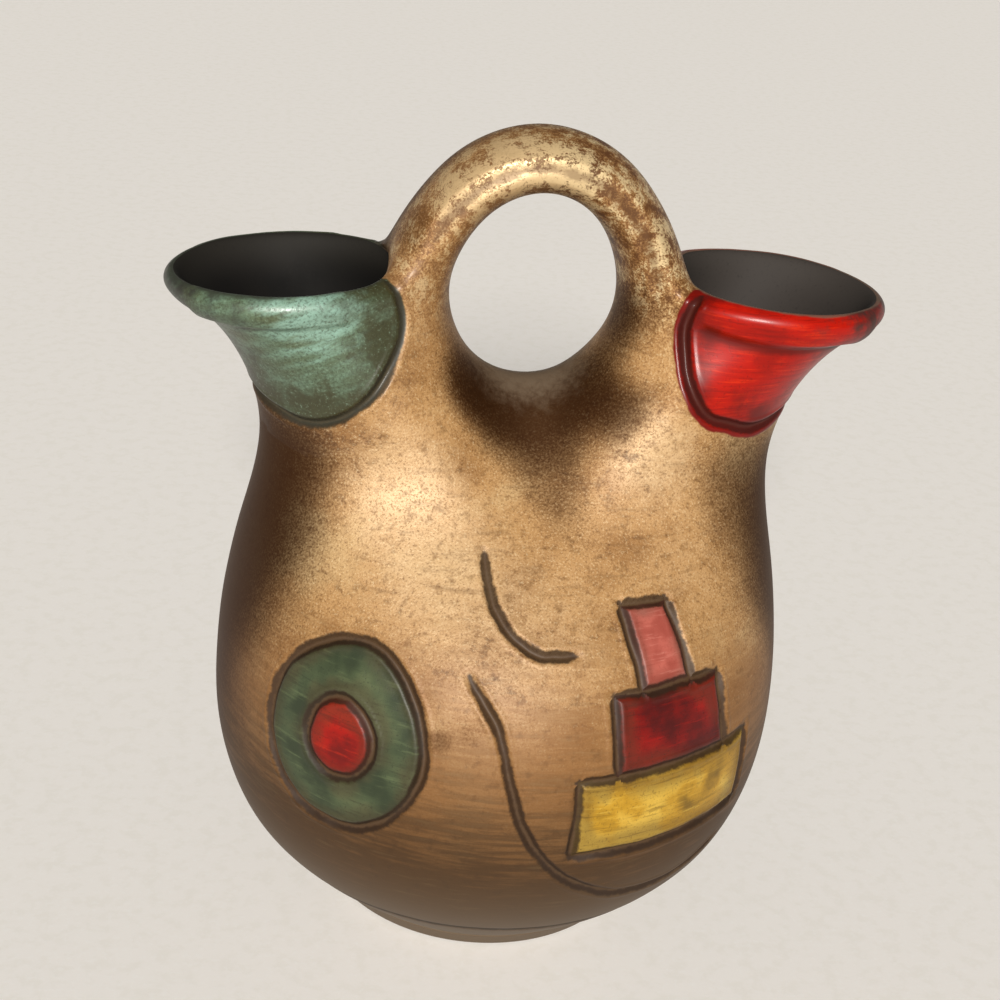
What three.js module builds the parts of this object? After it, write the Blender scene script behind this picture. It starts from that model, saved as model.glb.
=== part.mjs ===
import * as THREE from 'three';

// Wedding pitcher: a round belly, two flared spouts and an arched strap handle between their lips.
// Millimetres. Z is up, the spouts lie along X, the front looks along -Y and the foot stands on Z = 0.

// Clay: wall thickness, the film of slip between luted pieces, and how far the maker let the form lean
const WALL = 6.3;
const SLIP_GAP = 0.3;
const LEAN = 0.005;

// Foot slab: radius of its flat, height, rounding of its edge, and how far its wall leans out in degrees
const FOOT = { flat: 38.6, height: 6.1, round: 3.6, flare: 32 };

// Belly: half widths of its rings, from the foot up to the girth under the shoulder
const BELLY = [
  { z: FOOT.height + SLIP_GAP / 2, wide: 44.6, deep: 44.6 },
  { z: 28.1, wide: 69.8, deep: 69.8 },
  { z: 62.9, wide: 73.5, deep: 73.5 },
  { z: 95.9, wide: 69.5, deep: 63 },
];

// Shoulder: the last ring, higher at the sides than in front, and the saddle that parts the spouts
const SHOULDER = { sideZ: 129.9, frontZ: 117.8, wide: 59.1, deep: 29.9, parting: 8.1 };
const SADDLE = { halfWidth: 8.8, ridgeZ: 145.3, slopeZ: 133.6, slopeY: 13.5 };

// Spouts: distance of each ring from the middle, height, outward tilt in degrees and half widths
const THROAT = { x: 46.7, z: 154.3, tilt: -5.2, deep: 0.86 };
const MOUTH = { x: 58.4, deep: 0.91 };
const SPOUTS = {
  left: { side: -1, throat: 28.6, mouth: 29.4, z: 168.2, tilt: 3.7 },
  right: { side: 1, throat: 27.6, mouth: 28.5, z: 169.4, tilt: 2.9 },
};

// Rolled lip: height of the roll, how far it overhangs the neck, and its thickness
const LIP = { height: 7.3, overhang: 2.8, thick: 6.3 };

// Handle: an elliptic arch, its half widths, the strap's half thickness and half depth
const HANDLE = { z: 162.4, wide: 30.2, tall: 36.2, thick: 7.9, deep: 13.5, spread: 81, rings: 5 };
const HANDLE_BEAD = 1.05;

// Smoothing: points in each ring, and how often the net of rings is split to round it
const BELLY_POINTS = 10;
const SPOUT_POINTS = 8;
const HANDLE_POINTS = 10;
const ROUNDINGS = 2;

const CLAY = { colour: '#b28a58', roughness: 0.45, metalness: 0.25 };
const GREEN = { colour: '#6f9c85', roughness: 0.4, metalness: 0 };
const RED = { colour: '#b5200f', roughness: 0.3, metalness: 0 };
const BROWN = { colour: '#6e5540', roughness: 0.6, metalness: 0 };

const { degToRad, lerp, mapLinear } = THREE.MathUtils;
const counted = (count) => Array.from({ length: count }, (_, i) => i);

// A ring of control points lies outside the round that it gives, by this factor.
const ringGain = (count) => 3 / (2 + Math.cos((2 * Math.PI) / count));

// Belly points 0 and 1 stand either side of the front middle, 5 and 6 either side of the back middle.
const bellyAngle = (i) => degToRad(252 + (360 / BELLY_POINTS) * i);

// The net of control points. Each face belongs to one piece of the pitcher.
class Net {
  constructor() {
    this.points = [];
    this.faces = [];
    this.lines = {};
  }

  ring(points) {
    return points.map(([x, y, z]) => this.points.push(new THREE.Vector3(x + LEAN * z, y, z)) - 1);
  }

  face(piece, loop, inward = false) {
    this.faces.push({ piece, loop: inward ? loop.slice().reverse() : loop });
  }

  band(piece, lower, upper, { inward = false, skip = [] } = {}) {
    lower.forEach((corner, i) => {
      const next = (i + 1) % lower.length;
      if (!skip.includes(i)) {
        this.face(piece, [corner, lower[next], upper[next], upper[i]], inward);
      }
    });
  }
}

function bellyRing({ z, wide, deep }, inset) {
  const gain = ringGain(BELLY_POINTS);
  return counted(BELLY_POINTS).map((i) => [
    gain * (wide - inset) * Math.cos(bellyAngle(i)),
    gain * (deep - inset) * Math.sin(bellyAngle(i)),
    z,
  ]);
}

// The shoulder ring rises from the front and back towards the spouts' outer sides.
function shoulderRing(inset) {
  const front = Math.cos(degToRad(72));
  return bellyRing({ z: 0, ...SHOULDER }, inset).map(([x, y], i) => {
    const sideways = Math.abs(Math.cos(bellyAngle(i)));
    const z = mapLinear(sideways, front, 1, SHOULDER.frontZ, SHOULDER.sideZ) - 0.3 * inset;
    const besideParting = sideways < front + 0.01;
    return [besideParting ? Math.sign(x) * (SHOULDER.parting + 0.5 * inset) : x, y, z];
  });
}

function saddleRow(side, inset) {
  const x = side * (SADDLE.halfWidth + inset);
  const y = SADDLE.slopeY - 0.6 * inset;
  return [
    [x, -y, SADDLE.slopeZ - inset],
    [x, 0, SADDLE.ridgeZ - inset],
    [x, y, SADDLE.slopeZ - inset],
  ];
}

// Spout points run anticlockwise from the outer side. Points 3, 4 and 5 face the handle.
function spoutRing(side, { x, z, tilt, wide, deep }) {
  const gain = ringGain(SPOUT_POINTS);
  const slope = degToRad(tilt);
  return counted(SPOUT_POINTS).map((i) => {
    const angle = (2 * Math.PI * i) / SPOUT_POINTS;
    const out = gain * wide * Math.cos(angle);
    return [
      side * (x + out * Math.cos(slope)),
      side * gain * deep * Math.sin(angle),
      z - out * Math.sin(slope),
    ];
  });
}

// The wall from the foot to the foot of each spout: the outer skin, or the inner skin when inset.
function addBody(net, inset) {
  const skin = inset > 0 ? 'inner' : 'outer';
  const options = { inward: inset > 0 };
  const rings = BELLY.map((ring) => net.ring(bellyRing(ring, inset)));
  const shoulder = net.ring(shoulderRing(inset));
  rings.slice(1).forEach((ring, i) => net.band('belly_bowl', rings[i], ring, options));
  net.band('shoulder_saddle', rings.at(-1), shoulder, options);

  const leftRow = net.ring(saddleRow(-1, inset));
  const rightRow = net.ring(saddleRow(1, inset));
  const leftEdge = [shoulder[0], ...leftRow, shoulder[6]];
  const rightEdge = [shoulder[1], ...rightRow, shoulder[5]];
  leftRow.concat(shoulder[6]).forEach((point, i) => {
    net.face('shoulder_saddle', [leftEdge[i], rightEdge[i], rightEdge[i + 1], point], options.inward);
  });

  const closed = (ring) => [...ring, ring[0]];
  net.lines[`floor_${skin}`] = closed(rings[0]);
  net.lines[`girth_${skin}`] = closed(rings.at(-1));
  const bases = {
    left: [shoulder[8], shoulder[9], ...leftEdge, shoulder[7]],
    right: [shoulder[3], shoulder[4], ...rightEdge.slice().reverse(), shoulder[2]],
  };
  net.lines[`left_base_${skin}`] = closed(bases.left);
  net.lines[`right_base_${skin}`] = closed(bases.right);
  return bases;
}

// One flared spout with its rolled lip. The sector that faces the handle is left open for the strap.
function addSpout(net, name, outerBase, innerBase) {
  const { side, throat, mouth, z, tilt } = SPOUTS[name];
  const slope = degToRad(tilt);
  const throatRing = (inset) => net.ring(spoutRing(side, {
    ...THROAT,
    wide: throat - inset,
    deep: throat * THROAT.deep - inset,
  }));
  const mouthRing = (below, inset) => net.ring(spoutRing(side, {
    x: MOUTH.x - Math.sin(slope) * below,
    z: z - Math.cos(slope) * below,
    tilt,
    wide: mouth - inset,
    deep: mouth * MOUTH.deep - inset,
  }));

  const neck = throatRing(0);
  const crease = mouthRing(LIP.height, LIP.overhang);
  const roll = mouthRing(0.45 * LIP.height, -0.8);
  const top = mouthRing(-0.8, LIP.thick / 2);
  const rim = mouthRing(0.75 * LIP.height, LIP.thick);
  const bore = throatRing(WALL);

  const open = { skip: [3, 4] };
  net.band(`${name}_spout`, outerBase, neck);
  net.band(`${name}_spout`, neck, crease, open);
  net.band(`${name}_lip`, crease, roll, open);
  net.band(`${name}_lip`, roll, top, open);
  net.band(`${name}_lip`, top, rim);
  net.band(`${name}_spout`, rim, bore);
  net.band(`${name}_spout`, bore, innerBase);

  const outside = [5, 6, 7, 0, 1, 2, 3];
  net.lines[`${name}_crease`] = outside.map((i) => crease[i]);
  net.lines[`${name}_rim`] = [...outside, 4, 5].map((i) => rim[i]);
  net.lines[`${name}_root_low`] = [3, 4, 5].map((i) => neck[i]);
  net.lines[`${name}_root_high`] = [3, 4, 5].map((i) => top[i]);
  net.lines[`${name}_root_start`] = [neck, crease, roll, top].map((ring) => ring[3]);
  net.lines[`${name}_root_end`] = [neck, crease, roll, top].map((ring) => ring[5]);

  const front = side < 0 ? 3 : 5;
  const back = side < 0 ? 5 : 3;
  return [
    neck[front], neck[4], neck[back],
    crease[back], roll[back],
    top[back], top[4], top[front],
    roll[front], crease[front],
  ];
}

// The strap's rings along the arch, from the left root over the top to the right root.
function addHandle(net, leftRoot, rightRoot) {
  const gain = ringGain(HANDLE_POINTS);
  const rings = counted(HANDLE.rings).map((k) => {
    const angle = degToRad(lerp(90 + HANDLE.spread, 90 - HANDLE.spread, k / (HANDLE.rings - 1)));
    const outward = new THREE.Vector2(HANDLE.tall * Math.cos(angle), HANDLE.wide * Math.sin(angle)).normalize();
    return net.ring(counted(HANDLE_POINTS).map((i) => {
      const turn = degToRad(216 - (360 / HANDLE_POINTS) * i);
      const size = gain * (i === 0 || i === 2 ? HANDLE_BEAD : 1);
      const out = size * HANDLE.thick * Math.cos(turn);
      return [
        HANDLE.wide * Math.cos(angle) + out * outward.x,
        size * HANDLE.deep * Math.sin(turn),
        HANDLE.z + HANDLE.tall * Math.sin(angle) + out * outward.y,
      ];
    }));
  });
  [...rings, rightRoot].reduce((last, ring) => {
    net.band('handle_arch', last, ring);
    return ring;
  }, leftRoot);
}

const average = (vectors) => vectors
  .reduce((sum, vector) => sum.add(vector), new THREE.Vector3())
  .divideScalar(vectors.length);

const edgeKey = (a, b) => `${Math.min(a, b)}_${Math.max(a, b)}`;

// One rounding step: every face becomes four-sided faces round its middle, and the corners relax.
function rounded(net) {
  const edges = new Map();
  const near = net.points.map(() => ({ faces: [], edges: [] }));
  net.faces.forEach(({ loop }, f) => loop.forEach((a, i) => {
    const b = loop[(i + 1) % loop.length];
    const key = edgeKey(a, b);
    if (!edges.has(key)) {
      const edge = { ends: [a, b], faces: [], id: net.points.length + edges.size };
      edges.set(key, edge);
      near[a].edges.push(edge);
      near[b].edges.push(edge);
    }
    edges.get(key).faces.push(f);
    near[a].faces.push(f);
  }));

  const at = (ids) => ids.map((id) => net.points[id]);
  const middles = net.faces.map(({ loop }) => average(at(loop)));
  const halfway = (edge) => average(at(edge.ends));
  const isBorder = (edge) => edge.faces.length === 1;

  const corners = net.points.map((point, p) => {
    const border = near[p].edges.filter(isBorder);
    if (border.length > 0) {
      return average(border.map(halfway)).add(point).divideScalar(2);
    }
    const count = near[p].edges.length;
    const ofFaces = average(near[p].faces.map((f) => middles[f]));
    const ofEdges = average(near[p].edges.map(halfway));
    return point.clone().multiplyScalar(count - 3).add(ofFaces).addScaledVector(ofEdges, 2).divideScalar(count);
  });
  const edgePoints = [...edges.values()].map((edge) => (
    isBorder(edge) ? halfway(edge) : average([...at(edge.ends), ...edge.faces.map((f) => middles[f])])
  ));

  const next = new Net();
  next.points = [...corners, ...edgePoints, ...middles];
  const edgeId = (a, b) => edges.get(edgeKey(a, b)).id;
  net.faces.forEach(({ piece, loop }, f) => loop.forEach((corner, i) => {
    const before = loop.at(i - 1);
    const after = loop[(i + 1) % loop.length];
    const middle = net.points.length + edges.size + f;
    next.face(piece, [corner, edgeId(corner, after), middle, edgeId(before, corner)]);
  }));
  Object.entries(net.lines).forEach(([name, line]) => {
    next.lines[name] = line.flatMap((a, i) => (i === 0 ? [a] : [edgeId(line[i - 1], a), a]));
  });
  return next;
}

// The face where a strap end is luted to its spout: a grid stretched over its four border lines.
function rootGrid(net, name) {
  const [low, high, start, end] = ['low', 'high', 'start', 'end'].map((side) => net.lines[`${name}_root_${side}`]);
  const columns = low.length - 1;
  const rows = start.length - 1;
  const blend = (a, b, t) => net.points[a].clone().lerp(net.points[b], t);
  return counted(rows + 1).map((r) => counted(columns + 1).map((c) => {
    if (r === 0 || r === rows) {
      return (r === 0 ? low : high)[c];
    }
    if (c === 0 || c === columns) {
      return (c === 0 ? start : end)[r];
    }
    const u = c / columns;
    const v = r / rows;
    const corners = blend(low[0], low[columns], u).lerp(blend(high[0], high[columns], u), v);
    const point = blend(low[c], high[c], v).add(blend(start[r], end[r], u)).sub(corners);
    return net.points.push(point) - 1;
  }));
}

const strip = (outer, inner) => counted(outer.length - 1)
  .map((i) => [outer[i], outer[i + 1], inner[i + 1], inner[i]]);

// Luted faces. Each list of quads faces out of the lower piece and, turned round, out of the upper one.
function lutedFaces(net) {
  const { lines } = net;
  const joints = [
    { upper: 'belly_bowl', quads: strip(lines.floor_outer, lines.floor_inner) },
    { lower: 'belly_bowl', upper: 'shoulder_saddle', quads: strip(lines.girth_outer, lines.girth_inner) },
  ];
  Object.keys(SPOUTS).forEach((name) => {
    const spout = `${name}_spout`;
    const lip = `${name}_lip`;
    const grid = rootGrid(net, name);
    const seam = (grid.length - 1) / 3;
    const creaseLoop = [...lines[`${name}_crease`], ...grid[seam].slice(1)];
    const quads = strip(lines[`${name}_base_outer`], lines[`${name}_base_inner`]);
    joints.push({ lower: 'shoulder_saddle', upper: spout, quads });
    joints.push({ lower: spout, upper: lip, quads: strip(creaseLoop, lines[`${name}_rim`]) });
    grid.slice(1).forEach((row, r) => {
      joints.push({ lower: r < seam ? spout : lip, upper: 'handle_arch', quads: strip(grid[r], row) });
    });
  });
  return joints;
}

// One closed piece: its skin, and its luted faces drawn back by half the film of slip.
function pieceGeometry(net, joints, piece) {
  const luted = joints.flatMap(({ lower, upper, quads }) => {
    if (lower === piece) {
      return quads;
    }
    return upper === piece ? quads.map(([a, b, c, d]) => [a, d, c, b]) : [];
  });
  const skin = net.faces.filter((face) => face.piece === piece).map((face) => face.loop);

  const away = new Map();
  luted.forEach((quad) => {
    const [a, b, c, d] = quad.map((id) => net.points[id]);
    const normal = c.clone().sub(a).cross(d.clone().sub(b)).normalize();
    quad.forEach((id) => away.set(id, (away.get(id) ?? new THREE.Vector3()).add(normal)));
  });

  const used = [...new Set([...skin, ...luted].flat())];
  const order = new Map(used.map((id, i) => [id, i]));
  const positions = used.flatMap((id) => {
    const point = net.points[id].clone();
    return (away.has(id) ? point.addScaledVector(away.get(id).normalize(), -SLIP_GAP / 2) : point).toArray();
  });
  const triangles = [...skin, ...luted]
    .flatMap(([a, b, c, d]) => [a, b, c, a, c, d])
    .map((id) => order.get(id));

  const geometry = new THREE.BufferGeometry();
  geometry.setAttribute('position', new THREE.Float32BufferAttribute(positions, 3));
  geometry.setIndex(triangles);
  geometry.computeVertexNormals();
  return geometry;
}

// The foot: a slab with a rounded lower edge, turned on the axis.
function footGeometry() {
  const { flat, height, round, flare } = FOOT;
  const lean = degToRad(flare);
  const edge = flat + round * Math.cos(lean);
  const rise = height - 1 - round * (1 - Math.sin(lean));
  const wide = edge + rise * Math.tan(lean);
  const profile = new THREE.Path();
  profile.moveTo(0, 0);
  profile.lineTo(flat, 0);
  profile.absarc(flat, round, round, -Math.PI / 2, -lean);
  profile.lineTo(wide, height - 1);
  profile.lineTo(wide - 0.6, height);
  profile.lineTo(0, height);
  return new THREE.LatheGeometry(profile.getPoints(3), 60).rotateX(Math.PI / 2);
}

const net = new Net();
const outerBases = addBody(net, 0);
const innerBases = addBody(net, WALL);
const roots = Object.keys(SPOUTS).map((name) => addSpout(net, name, outerBases[name], innerBases[name]));
addHandle(net, ...roots);
const form = counted(ROUNDINGS).reduce(rounded, net);
const joints = lutedFaces(form);

const FINISHES = {
  foot_slab: BROWN,
  belly_bowl: CLAY,
  shoulder_saddle: CLAY,
  left_spout: GREEN,
  left_lip: GREEN,
  right_spout: RED,
  right_lip: RED,
  handle_arch: CLAY,
};

const pitcher = new THREE.Group();
pitcher.name = 'wedding_pitcher';
Object.entries(FINISHES).forEach(([name, { colour, roughness, metalness }]) => {
  const geometry = name === 'foot_slab' ? footGeometry() : pieceGeometry(form, joints, name);
  const mesh = new THREE.Mesh(geometry, new THREE.MeshStandardMaterial({ color: colour, roughness, metalness }));
  mesh.name = name;
  pitcher.add(mesh);
});

export default pitcher;
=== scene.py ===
# %% [markdown]
# # A wedding pitcher in painted clay
# A wedding pitcher is a jug with two spouts under one arched handle, so that two people can drink from it.
# The potter forms a round belly, divides the shoulder over a saddle, draws out two flared spouts, rolls
# their lips and lutes a strap from lip to lip. This lesson rebuilds that clay as one smooth net, scores and
# paints it, and cuts it into the pieces that the potter joined. All lengths are in millimetres until a mesh
# is written.

# %% Load the frame
import math

import bmesh
import bpy
import numpy as np
from mathutils import Matrix, Vector, noise
from mathutils.bvhtree import BVHTree
from mathutils.kdtree import KDTree


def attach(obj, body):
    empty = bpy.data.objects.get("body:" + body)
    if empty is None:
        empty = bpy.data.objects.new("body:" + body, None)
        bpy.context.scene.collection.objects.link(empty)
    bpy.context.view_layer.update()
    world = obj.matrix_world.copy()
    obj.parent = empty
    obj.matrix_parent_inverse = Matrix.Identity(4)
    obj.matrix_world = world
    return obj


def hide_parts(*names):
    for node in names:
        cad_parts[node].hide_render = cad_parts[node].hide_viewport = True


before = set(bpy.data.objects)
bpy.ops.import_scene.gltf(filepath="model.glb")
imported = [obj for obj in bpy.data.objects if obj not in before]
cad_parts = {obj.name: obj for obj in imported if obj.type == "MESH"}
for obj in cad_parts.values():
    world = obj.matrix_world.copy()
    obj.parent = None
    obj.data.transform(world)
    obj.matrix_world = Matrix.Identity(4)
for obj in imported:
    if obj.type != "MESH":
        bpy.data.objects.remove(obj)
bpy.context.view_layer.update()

MM = 0.001
print("nodes in the frame:", sorted(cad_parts))

# %% [markdown]
# ## Camera
# The picture was taken from a little above, slightly left of the middle, with the camera tipped to one
# side. A camera placed by hand would need many tries, so it stands on a sphere round a target point:
# azimuth and elevation say where, the distance and the lens say how strong the perspective is, and the roll
# tips it.

# %% Camera
LENS, SENSOR = 65.7, 36.0
CAMERA_DISTANCE = 459.6
CAMERA_AZIMUTH, CAMERA_ELEVATION, CAMERA_ROLL = (math.radians(a) for a in (-8.96, 25.47, 5.53))
CAMERA_TARGET = Vector((-2.2, 0, 107.6))

aim = (
    Matrix.Rotation(CAMERA_AZIMUTH, 3, "Z")
    @ Matrix.Rotation(math.pi / 2 - CAMERA_ELEVATION, 3, "X")
    @ Matrix.Rotation(CAMERA_ROLL, 3, "Z")
)
camera_place = CAMERA_TARGET + aim.col[2] * CAMERA_DISTANCE
camera = bpy.data.objects.new("camera", bpy.data.cameras.new("camera"))
camera.data.lens = LENS
camera.data.sensor_width = SENSOR
camera.data.clip_start = 0.01
camera.matrix_world = Matrix.Translation(camera_place * MM) @ aim.to_4x4()
bpy.context.scene.collection.objects.link(camera)
bpy.context.scene.camera = camera
print("camera stands at", [round(c) for c in camera_place], "mm")

# %% [markdown]
# ## The clay form
# Throwing a round pot would be a revolve, but this one divides into two spouts and carries a handle, so no
# single revolve or loft can follow it. A subdivision surface can: a coarse net of rings is laid round the
# form and Blender rounds it, as wet fingers round the clay. Each face of the net is tagged with the piece
# that it belongs to and with the skin, outside or inside, that it lies on.

# %% Sizes of the form
WALL = 6.3
LEAN = 0.005
FOOT_FLAT, FOOT_HEIGHT, FOOT_ROUND, FOOT_FLARE = 38.6, 6.1, 3.6, math.radians(32)
# Belly rings: height, half width and half depth
BELLY = ((6.25, 44.6, 44.6), (28.1, 69.8, 69.8), (62.9, 73.5, 73.5), (95.9, 69.5, 63.0))
SHOULDER = {"side_z": 129.9, "front_z": 117.8, "wide": 59.1, "deep": 29.9, "parting": 8.1}
SADDLE = {"half_width": 8.8, "ridge_z": 145.3, "slope_z": 133.6, "slope_y": 13.5}
THROAT = {"x": 46.7, "z": 154.3, "tilt": -5.2, "deep": 0.86}
MOUTH = {"x": 58.4, "deep": 0.91}
SPOUTS = {
    "left": {"side": -1, "throat": 28.6, "mouth": 29.4, "z": 168.2, "tilt": 3.7},
    "right": {"side": 1, "throat": 27.6, "mouth": 28.5, "z": 169.4, "tilt": 2.9},
}
LIP_HEIGHT, LIP_OVERHANG, LIP_THICK = 7.3, 2.8, 6.3
# Shares of the lip's height at which its roll is widest and its inner side ends, and the roll's swell
LIP_ROLL, LIP_RIM, LIP_SWELL = 0.45, 0.75, 0.8
# Share of the wall's thickness by which the inner skin lies lower, further from the parting and less deep
INNER_DROP, INNER_PARTING, INNER_SLOPE = 0.3, 0.5, 0.6
HANDLE = {"z": 162.4, "wide": 30.2, "tall": 36.2, "thick": 7.9, "deep": 13.5, "spread": 81, "bead": 1.05}
BELLY_POINTS, SPOUT_POINTS, HANDLE_POINTS, HANDLE_RINGS = 10, 8, 10, 5

PIECES = [
    "belly_bowl", "shoulder_saddle", "left_spout", "left_lip", "right_spout", "right_lip", "handle_arch",
]
OUTSIDE, INSIDE, LUTED = 0, 1, 2
print("the belly is", 2 * max(wide for _, wide, _ in BELLY), "mm wide and its wall", WALL, "mm thick")


# %% The net of rings
class Net:
    """Control points, faces with their tags, and the named lines along which pieces are luted."""

    def __init__(self):
        self.points, self.faces, self.tags, self.lines = [], [], [], {}

    def ring(self, points):
        start = len(self.points)
        self.points += [(x + LEAN * z, y, z) for x, y, z in points]
        return list(range(start, len(self.points)))

    def face(self, piece, skin, loop, inward=False):
        self.faces.append(loop[::-1] if inward else loop)
        self.tags.append(PIECES.index(piece) * 2 + skin)

    def band(self, piece, skin, lower, upper, inward=False, skip=()):
        count = len(lower)
        for i in range(count):
            after = (i + 1) % count
            if i not in skip:
                self.face(piece, skin, [lower[i], lower[after], upper[after], upper[i]], inward)


def ring_gain(count):
    """A ring of control points lies outside the round that it gives, by this factor."""
    return 3 / (2 + math.cos(math.tau / count))


def belly_angle(i):
    """Points 0 and 1 stand either side of the front middle, 5 and 6 either side of the back middle."""
    return math.radians(252 + 360 / BELLY_POINTS * i)


def belly_ring(z, wide, deep, inset):
    gain = ring_gain(BELLY_POINTS)
    angles = [belly_angle(i) for i in range(BELLY_POINTS)]
    return [(gain * (wide - inset) * math.cos(a), gain * (deep - inset) * math.sin(a), z) for a in angles]


def shoulder_ring(inset):
    """The shoulder ring rises from the front and back towards the spouts' outer sides."""
    front = math.cos(math.radians(72))
    ring = []
    for i, (x, y, _) in enumerate(belly_ring(0, SHOULDER["wide"], SHOULDER["deep"], inset)):
        sideways = abs(math.cos(belly_angle(i)))
        rise = (sideways - front) / (1 - front)
        z = SHOULDER["front_z"] + rise * (SHOULDER["side_z"] - SHOULDER["front_z"]) - INNER_DROP * inset
        beside_parting = sideways < front + 0.01
        if beside_parting:
            x = math.copysign(SHOULDER["parting"] + INNER_PARTING * inset, x)
        ring.append((x, y, z))
    return ring


def saddle_row(side, inset):
    x = side * (SADDLE["half_width"] + inset)
    y = SADDLE["slope_y"] - INNER_SLOPE * inset
    slope_z = SADDLE["slope_z"] - inset
    return [(x, -y, slope_z), (x, 0, SADDLE["ridge_z"] - inset), (x, y, slope_z)]


def spout_ring(side, x, z, tilt, wide, deep):
    """Spout points run from the outer side. Points 3, 4 and 5 face the handle."""
    gain = ring_gain(SPOUT_POINTS)
    slope = math.radians(tilt)
    ring = []
    for i in range(SPOUT_POINTS):
        angle = math.tau * i / SPOUT_POINTS
        out = gain * wide * math.cos(angle)
        y = side * gain * deep * math.sin(angle)
        ring.append((side * (x + out * math.cos(slope)), y, z - out * math.sin(slope)))
    return ring


def add_body(net, inset):
    """The wall from the foot to the foot of each spout: the outer skin, or the inner skin when inset."""
    skin = INSIDE if inset else OUTSIDE
    inward = inset > 0
    rings = [net.ring(belly_ring(*ring, inset)) for ring in BELLY]
    shoulder = net.ring(shoulder_ring(inset))
    for lower, upper in zip(rings, rings[1:]):
        net.band("belly_bowl", skin, lower, upper, inward)
    net.band("shoulder_saddle", skin, rings[-1], shoulder, inward)

    left_row = net.ring(saddle_row(-1, inset))
    right_row = net.ring(saddle_row(1, inset))
    left_edge = [shoulder[0], *left_row, shoulder[6]]
    right_edge = [shoulder[1], *right_row, shoulder[5]]
    for i in range(len(left_edge) - 1):
        loop = [left_edge[i], right_edge[i], right_edge[i + 1], left_edge[i + 1]]
        net.face("shoulder_saddle", skin, loop, inward)

    bases = {
        "left": [shoulder[8], shoulder[9], *left_edge, shoulder[7]],
        "right": [shoulder[3], shoulder[4], *right_edge[::-1], shoulder[2]],
    }
    net.lines["floor", skin] = rings[0] + rings[0][:1]
    net.lines["girth", skin] = rings[-1] + rings[-1][:1]
    for name, base in bases.items():
        net.lines[f"{name}_base", skin] = base + base[:1]
    return bases


def add_spout(net, name, outer_base, inner_base):
    """One flared spout with its rolled lip. The sector that faces the handle is left open for the strap."""
    spout = SPOUTS[name]
    side, tilt, slope = spout["side"], spout["tilt"], math.radians(spout["tilt"])

    def throat(inset):
        wide = spout["throat"]
        deep = wide * THROAT["deep"]
        place = THROAT["x"], THROAT["z"], THROAT["tilt"]
        return net.ring(spout_ring(side, *place, wide - inset, deep - inset))

    def mouth(below, inset):
        x = MOUTH["x"] - math.sin(slope) * below
        z = spout["z"] - math.cos(slope) * below
        wide = spout["mouth"]
        return net.ring(spout_ring(side, x, z, tilt, wide - inset, wide * MOUTH["deep"] - inset))

    neck = throat(0)
    crease = mouth(LIP_HEIGHT, LIP_OVERHANG)
    roll = mouth(LIP_ROLL * LIP_HEIGHT, -LIP_SWELL)
    top = mouth(-LIP_SWELL, LIP_THICK / 2)
    rim = mouth(LIP_RIM * LIP_HEIGHT, LIP_THICK)
    bore = throat(WALL)

    to_handle = (3, 4)
    net.band(f"{name}_spout", OUTSIDE, outer_base, neck)
    net.band(f"{name}_spout", OUTSIDE, neck, crease, skip=to_handle)
    net.band(f"{name}_lip", OUTSIDE, crease, roll, skip=to_handle)
    net.band(f"{name}_lip", OUTSIDE, roll, top, skip=to_handle)
    net.band(f"{name}_lip", INSIDE, top, rim)
    net.band(f"{name}_spout", INSIDE, rim, bore)
    net.band(f"{name}_spout", INSIDE, bore, inner_base)

    outside = [5, 6, 7, 0, 1, 2, 3]
    upward = [neck, crease, roll, top]
    net.lines[f"{name}_crease"] = [crease[i] for i in outside]
    net.lines[f"{name}_rim"] = [rim[i] for i in outside + [4, 5]]
    net.lines[f"{name}_top"] = top + top[:1]
    net.lines[f"{name}_root_low"] = neck[3:6]
    net.lines[f"{name}_root_high"] = top[3:6]
    net.lines[f"{name}_root_start"] = [ring[3] for ring in upward]
    net.lines[f"{name}_root_end"] = [ring[5] for ring in upward]
    front, back = (3, 5) if side < 0 else (5, 3)
    return [
        neck[front], neck[4], neck[back], crease[back], roll[back],
        top[back], top[4], top[front], roll[front], crease[front],
    ]


def add_handle(net, left_root, right_root):
    """The strap's rings along an elliptic arch, from the left root over the top to the right root."""
    gain = ring_gain(HANDLE_POINTS)
    last = left_root
    for k in range(HANDLE_RINGS):
        angle = math.radians(90 + HANDLE["spread"] * (1 - 2 * k / (HANDLE_RINGS - 1)))
        outward = Vector((HANDLE["tall"] * math.cos(angle), HANDLE["wide"] * math.sin(angle))).normalized()
        ring = []
        for i in range(HANDLE_POINTS):
            turn = math.radians(216 - 360 / HANDLE_POINTS * i)
            size = gain * (HANDLE["bead"] if i in (0, 2) else 1)
            out = size * HANDLE["thick"] * math.cos(turn)
            x = HANDLE["wide"] * math.cos(angle) + out * outward.x
            z = HANDLE["z"] + HANDLE["tall"] * math.sin(angle) + out * outward.y
            ring.append((x, size * HANDLE["deep"] * math.sin(turn), z))
        ring = net.ring(ring)
        net.band("handle_arch", OUTSIDE, last, ring)
        last = ring
    net.band("handle_arch", OUTSIDE, last, right_root)


net = Net()
outer_bases = add_body(net, 0)
inner_bases = add_body(net, WALL)
roots = [add_spout(net, name, outer_bases[name], inner_bases[name]) for name in SPOUTS]
add_handle(net, *roots)
print("the net has", len(net.points), "points and", len(net.faces), "faces")

# %% [markdown]
# ## Rounding the net
# Blender's Subdivision Surface modifier rounds the net. The modifier lists its result in a fixed order: the
# net's own points first, then the points along each net edge, then those inside the faces. So a line of the
# net can still be followed after rounding, which is how the pieces are cut apart and closed further down.

# %% Rounding the net
ROUNDINGS = 5
STEPS = 2 ** ROUNDINGS


def read(collection, field, width, kind=np.float32):
    values = np.empty(len(collection) * width, kind)
    collection.foreach_get(field, values)
    return values.reshape(-1, width)


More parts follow.
